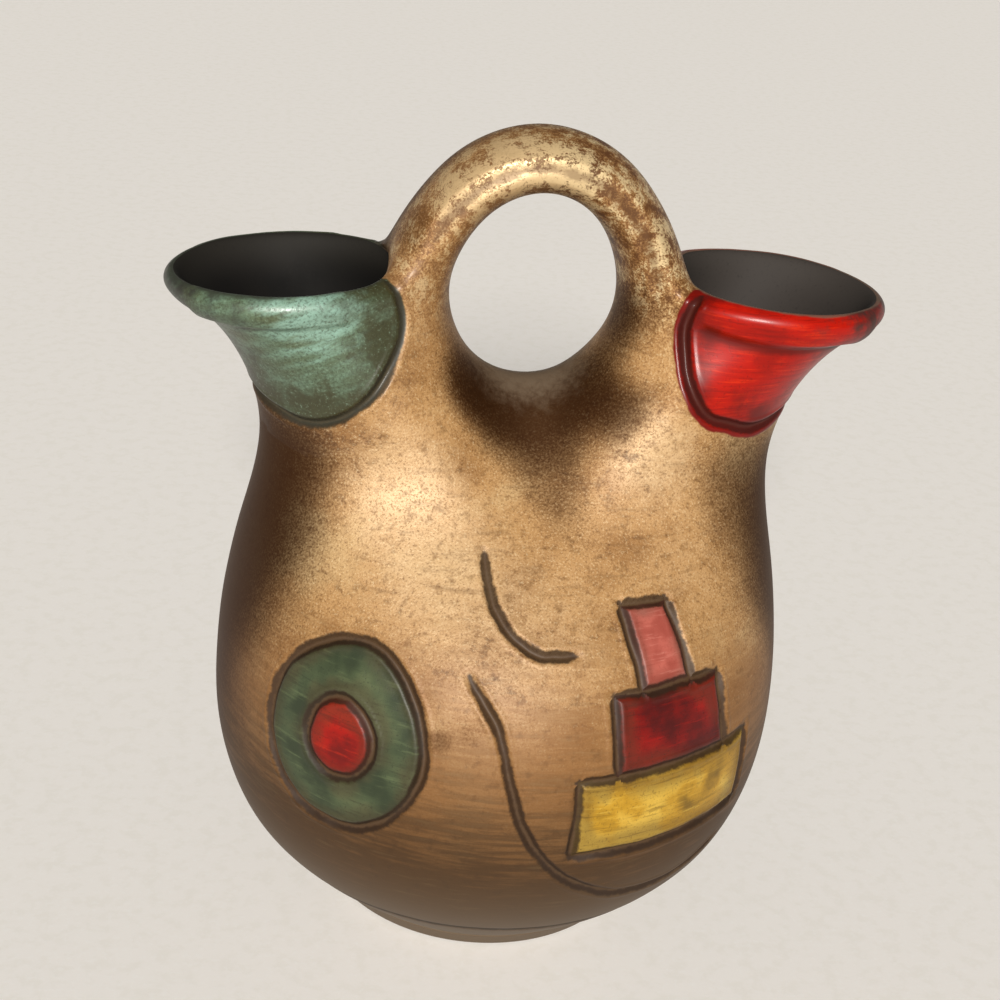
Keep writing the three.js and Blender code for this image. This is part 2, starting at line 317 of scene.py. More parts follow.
net_mesh = bpy.data.meshes.new("net")
net_mesh.from_pydata(net.points, [], net.faces)
net_mesh.attributes.new("tag", "INT", "FACE").data.foreach_set("value", net.tags)
net_object = bpy.data.objects.new("net", net_mesh)
bpy.context.scene.collection.objects.link(net_object)
net_object.modifiers.new("rounding", "SUBSURF").levels = ROUNDINGS
graph = bpy.context.evaluated_depsgraph_get()
clay = bpy.data.meshes.new_from_object(net_object.evaluated_get(graph))

spots = read(clay.vertices, "co", 3)
faces = read(clay.loops, "vertex_index", 1, np.int32).reshape(-1, 4)
tags = read(clay.attributes["tag"].data, "value", 1, np.int32)[:, 0]
net_edges = {}
for edge in net_mesh.edges:
    first = len(net.points) + edge.index * (STEPS - 1)
    between = list(range(first, first + STEPS - 1))
    a, b = edge.vertices
    net_edges[a, b], net_edges[b, a] = between, between[::-1]
bpy.data.objects.remove(net_object)


def followed(line):
    """The rounded points along a line of the net."""
    ids = [line[0]]
    for a, b in zip(line, line[1:]):
        ids += net_edges[a, b] + [b]
    return ids


lines = {name: followed(line) for name, line in net.lines.items()}
print("rounded clay has", len(faces), "faces, and is", np.ptp(spots, axis=0).round(1), "mm")

# %% [markdown]
# ## The maker's hand
# Burnished clay is never a perfect form. Slow swells a finger wide, a few tenths of a millimetre high, bend
# the highlights as they do on the real pot. Noise read at each point moves it along its normal. The swells
# fade out at the foot, which was pressed on a flat board.

# %% The maker's hand
# Width and height of the swells
SWELLS = ((46.0, 0.42), (19.0, 0.16))
FLAT_BELOW, FREE_ABOVE = 7.0, 24.0
# Strength and number of rubs over each fork of the net, and the radius that they reach
RUB, RUBS, RUB_WITHIN = 0.5, 60, 9.0


def smooth_step(low, high, values):
    t = np.clip((values - low) / (high - low), 0, 1)
    return t * t * (3 - 2 * t)


def tree_of(points):
    tree = KDTree(len(points))
    for i, p in enumerate(points):
        tree.insert(p, i)
    tree.balance()
    return tree


def normals_of(mesh, points):
    mesh.vertices.foreach_set("co", points.astype(np.float32).ravel())
    mesh.update()
    return read(mesh.vertex_normals, "vector", 3)


def soften_forks(points):
    """Rubs out the pinch that rounding leaves where three or five edges of the net meet."""
    fan = np.bincount(np.array(net.faces).ravel(), minlength=len(net.points))
    forks = tree_of(points[np.flatnonzero((fan == 3) | (fan > 4))])
    reach = np.array([forks.find(p)[2] for p in points.tolist()])
    weight = RUB * (1 - smooth_step(0.4 * RUB_WITHIN, RUB_WITHIN, reach))
    edges = read(clay.edges, "vertices", 2, np.int32)
    edges = edges[(weight[edges] > 0).any(axis=1)]
    ends = np.concatenate([edges, edges[:, ::-1]])
    ids, local = np.unique(ends, return_inverse=True)
    local = local.reshape(-1, 2)
    count = np.bincount(local[:, 0])[:, None]
    near = points[ids].astype(float)
    for _ in range(RUBS):
        total = np.stack([np.bincount(local[:, 0], near[local[:, 1], k]) for k in range(3)], axis=1)
        near += weight[ids][:, None] * (total / count - near)
    softened = points.copy()
    softened[ids] = np.where(weight[ids][:, None] > 0, near, points[ids])
    return softened


spots = soften_forks(spots)
swell = np.array([sum(h * noise.noise(Vector(p) / w) for w, h in SWELLS) for p in spots.tolist()])
swell *= smooth_step(FLAT_BELOW, FREE_ABOVE, spots[:, 2])
spots = spots + normals_of(clay, spots) * swell[:, None]
normals = normals_of(clay, spots)
is_outside = tags % 2 == OUTSIDE
surface = BVHTree.FromPolygons(spots.tolist(), faces[is_outside].tolist())
print("swells reach", np.abs(swell).max().round(2), "mm")

# %% [markdown]
# ## Luted joints
# Where two pieces meet, the potter scores both faces and presses them together with slip. Each piece must
# be a closed body, so it needs those hidden faces too: a strip between the outer and the inner line of a
# joint, and a grid stretched over the four border lines where each end of the strap meets its spout.

# %% Luted joints
def strip(outer, inner):
    outer, inner = np.array(outer), np.array(inner)
    return np.stack([outer[:-1], outer[1:], inner[1:], inner[:-1]], axis=1)


def root_grid(name):
    """Point ids of a grid stretched over the border of a strap's end."""
    global spots, normals
    borders = ("low", "high", "start", "end")
    low, high, start, end = (np.array(lines[f"{name}_root_{border}"]) for border in borders)
    u = np.linspace(0, 1, len(low))[None, :, None]
    v = np.linspace(0, 1, len(start))[:, None, None]
    between_sides = (1 - u) * spots[start][:, None] + u * spots[end][:, None]
    between_ends = (1 - v) * spots[low][None] + v * spots[high][None]
    corners = (1 - v) * ((1 - u) * spots[low[0]] + u * spots[low[-1]])
    corners = corners + v * ((1 - u) * spots[high[0]] + u * spots[high[-1]])
    grid = between_sides + between_ends - corners
    ids = len(spots) + np.arange(len(start) * len(low)).reshape(len(start), len(low))
    spots = np.concatenate([spots, grid.reshape(-1, 3)])
    normals = np.concatenate([normals, np.zeros((ids.size, 3))])
    ids[0], ids[-1], ids[:, 0], ids[:, -1] = low, high, start, end
    return ids


luted = {piece: [] for piece in PIECES}


def lute(quads, lower=None, upper=None):
    """Quads face out of the lower piece and, turned round, out of the upper one."""
    if lower:
        luted[lower].append(quads)
    if upper:
        luted[upper].append(quads[:, ::-1])


lute(strip(lines["floor", OUTSIDE], lines["floor", INSIDE]), upper="belly_bowl")
lute(strip(lines["girth", OUTSIDE], lines["girth", INSIDE]), "belly_bowl", "shoulder_saddle")
for name in SPOUTS:
    spout, lip = f"{name}_spout", f"{name}_lip"
    grid = root_grid(name)
    seam = (len(grid) - 1) // 3
    lute(strip(lines[f"{name}_base", OUTSIDE], lines[f"{name}_base", INSIDE]), "shoulder_saddle", spout)
    lute(strip(lines[f"{name}_crease"] + grid[seam][1:].tolist(), lines[f"{name}_rim"]), spout, lip)
    for row in range(len(grid) - 1):
        lute(strip(grid[row], grid[row + 1]), spout if row < seam else lip, "handle_arch")
print("luted faces:", {piece: sum(map(len, quads)) for piece, quads in luted.items()})

# %% [markdown]
# ## Charts for drawing on the clay
# The maker draws on a curved wall with a blunt stick. To draw on it here, a design is laid out flat on a
# chart and each point is sent straight at the clay until it touches: towards the belly's axis, towards a
# spout's axis, or from front to back at the handle. A path is a few points, joined straight or by a smooth
# curve.

# %% Charts for drawing on the clay
BELLY_ROUND = 73.5
FAR = 120.0
POINT_GAP = 0.05
# Seeded, so that the hand draws the same lines in every run
noise.seed_set(11)
# How far an unsteady hand wanders, and over what length
SLOW_WANDER, QUICK_WANDER = (0.55, 13), (0.2, 4)


def on_belly(across, z):
    """A point at a width measured round the belly from the front middle, and a height."""
    out = Vector((math.sin(across / BELLY_ROUND), -math.cos(across / BELLY_ROUND), 0))
    return surface.ray_cast(out * FAR + Vector((0, 0, z)), -out)[0]


def on_spout(side):
    """Points at an angle round a spout, 0 outwards and -90 to the front, and a height."""
    def place(angle, z):
        out = Vector((side * math.cos(math.radians(angle)), math.sin(math.radians(angle)), 0))
        axis = Vector((side * THROAT["x"] + LEAN * z, 0, z))
        return surface.ray_cast(axis + out * FAR / 2, -out)[0]
    return place


def on_handle(face):
    """Points at x and z, on the front of the handle for -1 and on its back for 1."""
    def place(x, z):
        return surface.ray_cast(Vector((x, face * FAR, z)), Vector((0, -face, 0)))[0]
    return place


def straight(points):
    points = [Vector(p) for p in points]
    path = [points[0]]
    for a, b in zip(points, points[1:]):
        count = max(1, round((b - a).length / POINT_GAP))
        path += [a.lerp(b, i / count) for i in range(1, count + 1)]
    return path


def curved(points, count=40):
    """A smooth curve through the points."""
    p = [Vector(q) for q in points]
    p = [2 * p[0] - p[1], *p, 2 * p[-1] - p[-2]]
    path = []
    for a, b, c, d in zip(p, p[1:], p[2:], p[3:]):
        for t in (i / count for i in range(count)):
            bend = (2 * a - 5 * b + 4 * c - d) * t + (3 * b - a - 3 * c + d) * t * t
            path.append(b + 0.5 * t * ((c - a) + bend))
    return path + [p[-2]]


def round_path(centre, radius, count=600):
    turns = [math.tau * i / count for i in range(count + 1)]
    return [Vector((centre[0] + radius * math.cos(t), centre[1] + radius * math.sin(t))) for t in turns]


def by_hand(path, seed):
    """The path as a hand draws it, a little unsteady."""
    def wander(p, reach, length):
        return reach * noise.noise_vector(Vector((p.x, p.y, seed * 31)) / length).xy
    return [p + wander(p, *SLOW_WANDER) + wander(p, *QUICK_WANDER) for p in path]


def laid(place, path):
    """The path on the clay, as evenly spaced points."""
    touched = [p for p in (place(*q) for q in path) if p is not None]
    even = [touched[0]]
    for p in touched[1:]:
        step = (p - even[-1]).length
        count = int(step / POINT_GAP)
        if count:
            start = even[-1].copy()
            even += [start.lerp(p, i / count) for i in range(1, count + 1)]
    return np.array(even)


print("the front of the belly, 70 mm up, is at", [round(c, 1) for c in on_belly(0, 70)])

# %% [markdown]
# ## The design
# Each spout carries one plain panel that fills its outer side down to a scored U, green on the left and red
# on the right. On the belly are simple old shapes, coloured between scored outlines: a disc and a terrace
# of three steps, with a long and a short curve drawn freely beside them. A hand draws each side by itself,
# runs a little past the corners and never keeps quite straight.

# %% The design
# Half of each panel's outline: angle round the spout and height
PANEL_BOTTOM = {"left": 135.2, "right": 137.9}
PANEL_SIDE = {"left": 129.5, "right": 126.5}


def panel_outline(name):
    bottom, side = PANEL_BOTTOM[name], PANEL_SIDE[name]
    return [
        (0, bottom + 3.6), (40, bottom + 1.2), (70, bottom), (90, bottom + 2.2), (104, 142.6), (116, 149.8),
        (side - 3.5, 156.5), (side, 161.5), (side - 1.5, 165.5), (side - 5, 169.3),
    ]


DISC, DISC_RADIUS, DISC_HEART = (-49.0, 72.0), 22.5, 9.5
# Steps of the terrace from the bottom: left, right, lower and upper edge
TERRACE = ((12, 66, 50, 70), (22, 56, 70, 88), (31, 47, 88, 104))
LONG_CURVE = ((-18, 92), (-9, 82), (-5, 70), (0, 57), (10, 44), (26, 35), (46, 33), (64, 38))
SHORT_CURVE = ((-20, 113), (-12, 103), (0, 97), (13, 96))
BLUNT_END, PAST_CORNER = 2.2, 0.6
# Usual pressure of the stick, how much it varies, and over what length
PRESS, PRESS_VARIES, PRESS_LENGTH = 0.94, 0.4, 8


def boxed(left, right, low, high):
    return [(left, low), (right, low), (right, high), (left, high)]


def sides(left, right, low, high):
    """The left, right and upper side of a step, each a little past its corners."""
    yield (left, low - PAST_CORNER), (left, high + PAST_CORNER)
    yield (right, low - PAST_CORNER), (right, high + PAST_CORNER)
    yield (left - PAST_CORNER, high), (right + PAST_CORNER, high)


def stroke(points, closed=False):
    """A drawn line with the pressure of the stick along it, which eases off at open ends."""
    press = PRESS + PRESS_VARIES * np.array([noise.noise(Vector(p) / PRESS_LENGTH) for p in points.tolist()])
    if not closed:
        from_end = np.minimum(np.arange(len(points)), np.arange(len(points))[::-1]) * POINT_GAP
        press *= np.sqrt(np.clip((from_end + 0.2) / BLUNT_END, 0, 1))
    return points, press


rounds = [by_hand(round_path(DISC, radius), radius) for radius in (DISC_RADIUS, DISC_HEART)]
strokes = [stroke(laid(on_belly, path), closed=True) for path in rounds]
left, right, low, _ = TERRACE[0]
lines_drawn = [((left - PAST_CORNER, low), (right + PAST_CORNER, low))]
lines_drawn += [line for step in TERRACE for line in sides(*step)]
paths = [straight(line) for line in lines_drawn] + [curved(LONG_CURVE, 300), curved(SHORT_CURVE, 300)]
strokes += [stroke(laid(on_belly, by_hand(path, seed))) for seed, path in enumerate(paths)]
for name, spout in SPOUTS.items():
    half = panel_outline(name)
    whole = [(-angle, z) for angle, z in half[:0:-1]] + half
    points, press = stroke(laid(on_spout(spout["side"]), curved(whole, 120)))
    if name == "left":
        # This outline grows faint towards the lip
        press *= 1 - 0.5 * smooth_step(146, 164, points[:, 2])
    strokes.append((points, press))
panel_lines = dict(zip(SPOUTS, strokes[-2:]))
print("scored points on the clay:", [len(points) for points, _ in strokes])

# %% [markdown]
# ## Scoring the clay
# A stick dragged through firm clay leaves a round-bottomed channel with a low burr along each side. Only
# the faces near a line need to be fine enough to show that, so each piece is split there and nowhere else.
# The new points then sink along the normal, and the normals are tilted by the same formula, so that even a
# coarse face shades as a clean channel. A shallow ring round the lowest wall, the roll of each lip, the
# hollow that a finger drew along the strap and a ridge on its right leg are made in the same way from other
# shapes.

# %% Scoring the clay
# Distance from a scored line within which faces are split, for each round of splitting
SPLIT_WITHIN = (4.6, 2.4)
FINE_EDGE = 0.45
HOLLOW_ARCH = 0.945
# Height of the line that was scored round the pot above the foot
RING_Z = 18.8
# Place and width of the burr, as shares of the channel's half width
BURR_AT, BURR_WIDTH = 1.25, 0.3
# How much further off a light stroke counts, and a distance that no finish reaches
FAINT, NOWHERE = 1.6, 99.0
SLOPE_STEP = 0.02
# How a luted face gives way with its border: reach, share where that rises or sinks, and a little more
GIVE_NEAR, GIVE_FAR, GIVE_RISING, GIVE_SINKING, GIVE_MORE = 2, 9, 0.4, 1.3, 0.15


def channel(half_width, depth, burr=0.0):
    """A round-bottomed channel, with a low burr beside it. A negative depth gives a ridge."""
    def height(distance):
        t = np.clip(distance / half_width, 0, 1)
        beside = (distance - BURR_AT * half_width) / (BURR_WIDTH * half_width)
        return burr * np.exp(-beside ** 2) - depth * (1 - t * t) ** 2
    return height


def overhang(height, lower, upper):
    """A roll that starts at the line, swells fast above it and dies out slowly."""
    def rolled(distance):
        return height * smooth_step(0, lower, distance) * (1 - smooth_step(lower, upper, distance))
    return rolled


def mark(strokes, shape, above=False):
    """Lines that share a shape. Those with above set only change the clay above them."""
    points = np.concatenate([points for points, _ in strokes])
    press = np.concatenate([press for _, press in strokes])
    return {"tree": tree_of(points), "press": press, "shape": shape, "above": above}


def arch_path(start, end, factor):
    turns = [math.radians(start + (end - start) * i / 60) for i in range(61)]
    wide, tall = HANDLE["wide"] * factor, HANDLE["tall"] * factor
    return [Vector((wide * math.cos(t), HANDLE["z"] + tall * math.sin(t))) for t in turns]


def both_faces(place, path):
    """A line round a spout, on its front and mirrored on its back."""
    return [stroke(laid(place, curved([(turn * angle, z) for angle, z in path]))) for turn in (-1, 1)]


ring_path = straight(((-math.pi * BELLY_ROUND, RING_Z), (math.pi * BELLY_ROUND, RING_Z)))
ring = [stroke(laid(on_belly, ring_path), closed=True)]
rolls = both_faces(on_spout(-1), [(22, 158.6), (60, 159.0), (96, 160.4)])
rolls += both_faces(on_spout(1), [(22, 159.4), (65, 159.5), (92, 160.4), (118, 162.0)])
hollows = [stroke(laid(on_handle(face), arch_path(152, 14, HOLLOW_ARCH))) for face in (-1, 1)]
ridge = [stroke(laid(on_handle(-1), curved([(23.6, 184), (24.8, 176), (26.6, 167)])))]
marks = {
    "score": mark(strokes, channel(1.75, 1.1, burr=0.14)),
    "ring": mark(ring, channel(1.8, 0.5)),
    "roll": mark(rolls, overhang(1.15, 2.6, 10.5), above=True),
    "hollow": mark(hollows, channel(3.4, 0.9)),
    "ridge": mark(ridge, channel(1.8, -0.55)),
}


def nearest(tree, points):
    """For each point: distance to the nearest line point, direction away from it, and its number."""
    found = [tree.find(p) for p in points.tolist()]
    away = points - np.array([f[0] for f in found]).reshape(-1, 3)
    distance = np.array([f[2] for f in found])
    return distance, away / np.maximum(distance, 1e-6)[:, None], np.array([f[1] for f in found])


def split_near_lines(mesh):
    """Splits the outer faces of a mesh near the scored lines."""
    bm = bmesh.new()
    bm.from_mesh(mesh)
    skin = bm.faces.layers.int["skin"]
    for within in SPLIT_WITHIN:
        near = {v for v in bm.verts if marks["score"]["tree"].find(v.co)[2] < within}
        edges = [
            e for e in bm.edges
            if e.verts[0] in near and e.verts[1] in near and e.calc_length() > FINE_EDGE
            and any(f[skin] == OUTSIDE for f in e.link_faces)
        ]
        bmesh.ops.subdivide_edges(bm, edges=edges, cuts=1, use_grid_fill=True)
    bm.to_mesh(mesh)
    bm.free()


def piece_mesh(piece):
    """One closed piece with its skins, its luted faces and the smooth normals of the whole form."""
    own = tags // 2 == PIECES.index(piece)
    loops = np.concatenate([faces[own], *luted[piece]])
    skins = np.full(len(loops), LUTED, np.int32)
    skins[:own.sum()] = tags[own] % 2
    ids, loops = np.unique(loops, return_inverse=True)
    mesh = bpy.data.meshes.new(piece)
    mesh.from_pydata(spots[ids].tolist(), [], loops.reshape(-1, 4).tolist())
    mesh.attributes.new("skin", "INT", "FACE").data.foreach_set("value", skins)
    kept = mesh.attributes.new("round_normal", "FLOAT_VECTOR", "POINT")
    kept.data.foreach_set("vector", normals[ids].astype(np.float32).ravel())
    split_near_lines(mesh)
    return mesh


def faces_of(mesh):
    """The skin and the number of sides of each face, and the point at each of their corners."""
    skins = read(mesh.attributes["skin"].data, "value", 1, np.int32)[:, 0]
    sides = read(mesh.polygons, "loop_total", 1, np.int32)[:, 0]
    return skins, sides, read(mesh.loops, "vertex_index", 1, np.int32)[:, 0]


def pressed(mesh):
    """A mesh's points, the same after all marks, their normals, and the distance to a score and to a fold."""
    points = read(mesh.vertices, "co", 3).astype(float)
    normal = read(mesh.attributes["round_normal"].data, "vector", 3).astype(float)
    length = np.linalg.norm(normal, axis=1, keepdims=True)
    normal = np.where(length > 0.1, normal / np.maximum(length, 0.1), 0)
    skins, sides, corners = faces_of(mesh)
    touched = {skin: np.zeros(len(points), bool) for skin in (OUTSIDE, INSIDE, LUTED)}
    for skin, mine in touched.items():
        mine[corners[np.repeat(skins == skin, sides)]] = True
    outer = touched[OUTSIDE].astype(float)
    moved, tilted = points.copy(), normal.copy()
    cut, fold = None, np.full(len(points), NOWHERE)
    for name, line in marks.items():
        distance, away, number = nearest(line["tree"], points)
        press = line["press"][number] * outer
        side = np.where(line["above"] & (away[:, 2] < 0), -1, 1)
        signed = distance * side
        rise = line["shape"](signed + SLOPE_STEP) - line["shape"](signed - SLOPE_STEP)
        slope = rise / (2 * SLOPE_STEP)
        along = away - normal * np.sum(away * normal, axis=1, keepdims=True)
        moved += normal * (line["shape"](signed) * press)[:, None]
        tilted -= along * (slope * side * press)[:, None]
        faint = distance + (1 - np.minimum(press, 1)) * FAINT
        if name == "score":
            cut = faint
        elif name in ("roll", "hollow"):
            fold = np.minimum(fold, faint)
    # The middle of a luted face gives way with its border, or it would show in a groove
    border = np.flatnonzero(touched[OUTSIDE] & touched[LUTED])
    within = np.flatnonzero(touched[LUTED] & ~touched[OUTSIDE] & ~touched[INSIDE])
    if len(within):
        distance, _, number = nearest(tree_of(points[border]), points[within])
        reach = (1 - smooth_step(GIVE_NEAR, GIVE_FAR, distance))[:, None]
        out = normal[border[number]]
        rise = np.sum((moved - points)[border[number]] * out, axis=1, keepdims=True)
        share = np.where(rise > 0, GIVE_RISING, GIVE_SINKING)
        moved[within] += out * (share * rise - GIVE_MORE) * reach
    return points, moved, tilted, cut, fold


meshes = {piece: piece_mesh(piece) for piece in PIECES}
for piece, mesh in meshes.items():
    print(piece, "has", len(mesh.polygons), "faces")

# %% [markdown]
# ## Where each finish lies
# Paint and smoke do not stop at the pieces' borders: the panels run over spout and lip, the brown spray and
# painted shade over belly and shoulder. So each point carries a few plain numbers that every finish can read:
# how far it is from a scored line or a fold, how far inside a panel, how far from a lip's top, how much spray
# and painted shade it got, how much leaf, and how much painted highlight. Painted pictures would need charts
# without seams; numbers on the points need none.

# %% Where each finish lies
# Puffs of brown spray and of painted shade: middle, radius and strength
SPRAY_AND_SHADE_PUFFS = (
    # Both sides, from the spouts down: brown spray, and painted shade where the sides turn from the light
    ((-84, 0, 74), 44, 0.9), ((-66, -4, 126), 22, 0.95), ((-66, -8, 110), 24, 0.95),
    ((-70, -10, 94), 24, 0.8), ((-54, -17, 127), 12, 0.5), ((-64, 22, 112), 30, 0.9),
    ((84, 0, 74), 46, 0.85), ((70, -12, 100), 24, 0.85), ((64, -6, 118), 20, 0.85),
    ((64, 22, 110), 28, 0.85), ((-58, -22, 112), 20, 0.4), ((-55, -20, 121), 18, 0.35),
    ((-49, -22, 130), 13, 0.2), ((-62, -28, 98), 22, 0.4), ((56, -18, 124), 20, 0.4),
    ((50, -20, 132), 15, 0.25), ((49, -25, 121), 14, 0.2), ((61, -25, 104), 21, 0.4),
    # The fork, front and back, and the legs of the strap beside it: painted shade under the strap and down
    # from the fork, over brown spray
    ((-15, -10, 144), 13, 0.75), ((-6, -12, 139), 14, 0.75), ((5, -11, 138), 15, 0.8),
    ((16, -9, 143), 14, 0.75), ((3, 0, 143), 17, 0.5), ((8, -18, 131), 11, 0.4),
    ((-4, -19, 131), 10, 0.35), ((23, -17, 140), 9, 0.5), ((6, -25, 125), 12, 0.5),
    ((10, -33, 118), 9, 0.25), ((21, -22, 137), 9, 0.45), ((29, -22, 144), 8, 0.35),
    ((24, -4, 160), 13, 0.75), ((-25, -2, 158), 12, 0.55), ((0, 16, 136), 20, 0.9),
    ((20, 14, 142), 14, 0.8), ((-18, 12, 144), 14, 0.8),
    # The back of the strap
    ((38, 12, 166), 17, 0.7), ((33, 12, 180), 17, 0.7), ((23, 12, 192), 17, 0.65),
    ((8, 13, 200), 17, 0.4), ((-8, 13, 200), 17, 0.4), ((-23, 12, 192), 17, 0.65),
    ((-33, 12, 180), 17, 0.7), ((-38, 12, 166), 17, 0.7),
    # Stains on the legs' front
    ((-28, -9, 179), 8, 0.35), ((32, -10, 167), 9, 0.35),
    # Smudges left by fingers
    ((-28, -62, 80), 5, 0.5), ((-21, -65, 78), 4, 0.55), ((-14, -65, 81), 5, 0.4), ((-25, -60, 86), 4, 0.35),
)
# Painted highlights on the shoulder, the chest and the strap: middle, radius and strength
PAINTED_HIGHLIGHTS = (
    ((-30, -30, 124), 20, 0.85), ((-22, -44, 112), 22, 0.7), ((29, -27, 134), 15, 0.95),
    ((-4, -58, 100), 32, 0.55), ((40, -40, 114), 22, 0.4), ((-7, -12, 197), 12, 0.9),
    ((6, -13, 196), 10, 0.8), ((-20, -11, 190), 10, 0.7), ((30, -11, 182), 8, 0.5),
)
# Where leaf was laid: from none to all upwards, from all to none outwards, and from whole to torn rightwards
LEAF_UP, LEAF_OUT, LEAF_RIGHT = (152, 172), (34, 42), (-12, 14)
# Full strength within the core of a puff and none past its edge, as shares of its radius
PUFF_CORE, PUFF_EDGE = 0.25, 1.25
# A panel's chart starts beside the pot's axis and is closed over the lip
BESIDE_AXIS, OVER_LIP = 5, 190
top_tree = tree_of(np.concatenate([spots[lines[f"{name}_top"]] for name in SPOUTS]))
panel_trees = {name: tree_of(points) for name, (points, _) in panel_lines.items()}


def inside(outline, x, y):
    """Which points of a chart lie inside a closed outline."""
    result = np.zeros(len(x), bool)
    for (x0, y0), (x1, y1) in zip(outline, outline[1:] + outline[:1]):
        crosses = (y0 > y) != (y1 > y)
        rise = y1 - y0 if y1 != y0 else 1.0
        result ^= crosses & (x < (x1 - x0) * (y - y0) / rise + x0)
    return result


def panel_depth(points):
    """Distance from the panel's scored border, negative inside the panel."""
    depth = np.full(len(points), NOWHERE)
    for name, spout in SPOUTS.items():
        mine = points[:, 0] * spout["side"] > BESIDE_AXIS
        x, y, z = points[mine].T
        angle = np.degrees(np.abs(np.arctan2(y, spout["side"] * (x - LEAN * z) - THROAT["x"])))
        half = [tuple(p) for p in curved(panel_outline(name))]
        outline = half + [(half[-1][0] - 6, OVER_LIP), (-1, OVER_LIP), (-1, half[0][1])]
        distance = nearest(panel_trees[name], points[mine])[0]
        depth[mine] = np.where(inside(outline, angle, z), -distance, distance)
    return depth


def puffed(points, puffs):
    """How much of a set of soft round puffs reached each point."""
    clear = np.ones(len(points))
    for middle, radius, strength in puffs:
        distance = np.linalg.norm(points - np.array(middle), axis=1)
        clear *= 1 - strength * (1 - smooth_step(PUFF_CORE * radius, PUFF_EDGE * radius, distance))
    return 1 - clear


def gilt_on(points):
    """Leaf was laid on the strap only, and is most torn on its right leg."""
    x, y, z = points.T
    on_strap = smooth_step(*LEAF_UP, z) * (1 - smooth_step(*LEAF_OUT, np.abs(x)))
    return on_strap * (0.55 + 0.45 * smooth_step(*LEAF_RIGHT, x))


def write_numbers(mesh, **numbers):
    for name, values in numbers.items():
        mesh.attributes.new(name, "FLOAT", "POINT").data.foreach_set("value", values.astype(np.float32))


def finish_mesh(mesh):
    """Presses the marks into a mesh, writes its numbers and normals and turns it to metres."""
    points, moved, tilted, cut, fold = pressed(mesh)
    rim = nearest(top_tree, points)[0]
    write_numbers(mesh, cut=cut, fold=fold, panel=panel_depth(points), rim=rim, gilt=gilt_on(points))
    write_numbers(mesh, spray=puffed(points, SPRAY_AND_SHADE_PUFFS), rubbed=puffed(points, PAINTED_HIGHLIGHTS))
    mesh.vertices.foreach_set("co", (moved * MM).astype(np.float32).ravel())
    mesh.update()
    mesh.shade_smooth()
    skins, sides, corners = faces_of(mesh)
    flat = np.repeat(read(mesh.polygons, "normal", 3), sides, axis=0)
    on_skin = np.repeat(skins != LUTED, sides)[:, None]
    mesh.normals_split_custom_set(np.where(on_skin, tilted[corners], flat).tolist())
    mesh.attributes.remove(mesh.attributes["round_normal"])
    return points, skins


finished = {piece: finish_mesh(mesh) for piece, mesh in meshes.items()}
print("the spray is at most", round(float(puffed(finished["belly_bowl"][0], SPRAY_AND_SHADE_PUFFS).max()), 2), "strong")

# %% [markdown]
# ## The foot
# The pot stands on a slab with a rounded edge. Its joint to the belly was smoothed over and shows only as a
# fine open crease along the slab's top edge. A turned profile is enough here, swept once round the axis.

# %% The foot
FOOT_SIDES, EDGE_STEPS, FLARE_STEPS = 320, 14, 30
# Rings on the underside and on the top, and how far the top reaches into the belly's joint
UNDER_RINGS, TOP_RINGS, FOOT_REACH = (0.0, 12.0, 26.0, 34.0, FOOT_FLAT), (34.0, 20.0, 0.0), 0.14
FOOT_CREASE = {"z": 5.85, "half_width": 0.4, "depth": 0.25}


def foot_profile():
    """Radius and height from the middle of the underside round the edge to the middle of the top."""
    rows = [(radius, 0.0) for radius in UNDER_RINGS]
    for i in range(1, EDGE_STEPS + 1):
        turn = (math.pi / 2 - FOOT_FLARE) * i / EDGE_STEPS
        rows.append((FOOT_FLAT + FOOT_ROUND * math.sin(turn), FOOT_ROUND * (1 - math.cos(turn))))
    edge, start = rows[-1]
    top = FOOT_HEIGHT + FOOT_REACH
    for i in range(1, FLARE_STEPS + 1):
        z = start + (top - start) * i / FLARE_STEPS
        off = (z - FOOT_CREASE["z"]) / FOOT_CREASE["half_width"]
        crease = FOOT_CREASE["depth"] * max(0, 1 - off * off) ** 2
        rows.append((edge + (z - start) * math.tan(FOOT_FLARE) - crease, z))
    return rows + [(radius, top) for radius in TOP_RINGS]


foot_points, foot_faces, rings = [], [], []
for radius, z in foot_profile():
    count = FOOT_SIDES if radius else 1
    start = len(foot_points)
    for i in range(count):
        turn = math.tau * i / FOOT_SIDES
        foot_points.append((radius * math.cos(turn) + LEAN * z, radius * math.sin(turn), z))
    rings.append(range(start, start + count))
for lower, upper in zip(rings, rings[1:]):
    for i in range(FOOT_SIDES):
        loop = [lower[i % len(lower)], lower[(i + 1) % len(lower)]]
        loop += [upper[(i + 1) % len(upper)], upper[i % len(upper)]]
        foot_faces.append(list(dict.fromkeys(loop)))
foot_mesh = bpy.data.meshes.new("foot_slab")
foot_mesh.from_pydata([[c * MM for c in p] for p in foot_points], [], foot_faces)
foot_mesh.shade_smooth()
foot_spots = np.array(foot_points)
far = np.full(len(foot_spots), NOWHERE)
write_numbers(foot_mesh, cut=far, fold=far, panel=far, rim=far)
write_numbers(foot_mesh, spray=far * 0, rubbed=far * 0, gilt=far * 0)
print("the foot has", len(foot_faces), "faces")

# %% [markdown]
# ## Tools for the finishes
# A finish is built up as on the bench: a ground first, then coats over it, each with a mask that says where
# it stays. A coat is a small set of four values: colour, roughness, metal and height. Each value could have
# its own chain of nodes, but laid together they agree, so a grain that is dark is also dull and low. All
# patterns are read from the place on the pot in millimetres, so they run on across the joints and keep
# their real size.

# %% Tools for the finishes
RANGE = ("Value", "From Min", "From Max", "To Min", "To Max")
SOFT = {"interpolation_type": "SMOOTHSTEP"}


def paint(code):
    """An sRGB hex colour as linear values."""
    values = [int(code[i:i + 2], 16) / 255 for i in (1, 3, 5)]
    return [v / 12.92 if v <= 0.04045 else ((v + 0.055) / 1.055) ** 2.4 for v in values] + [1.0]


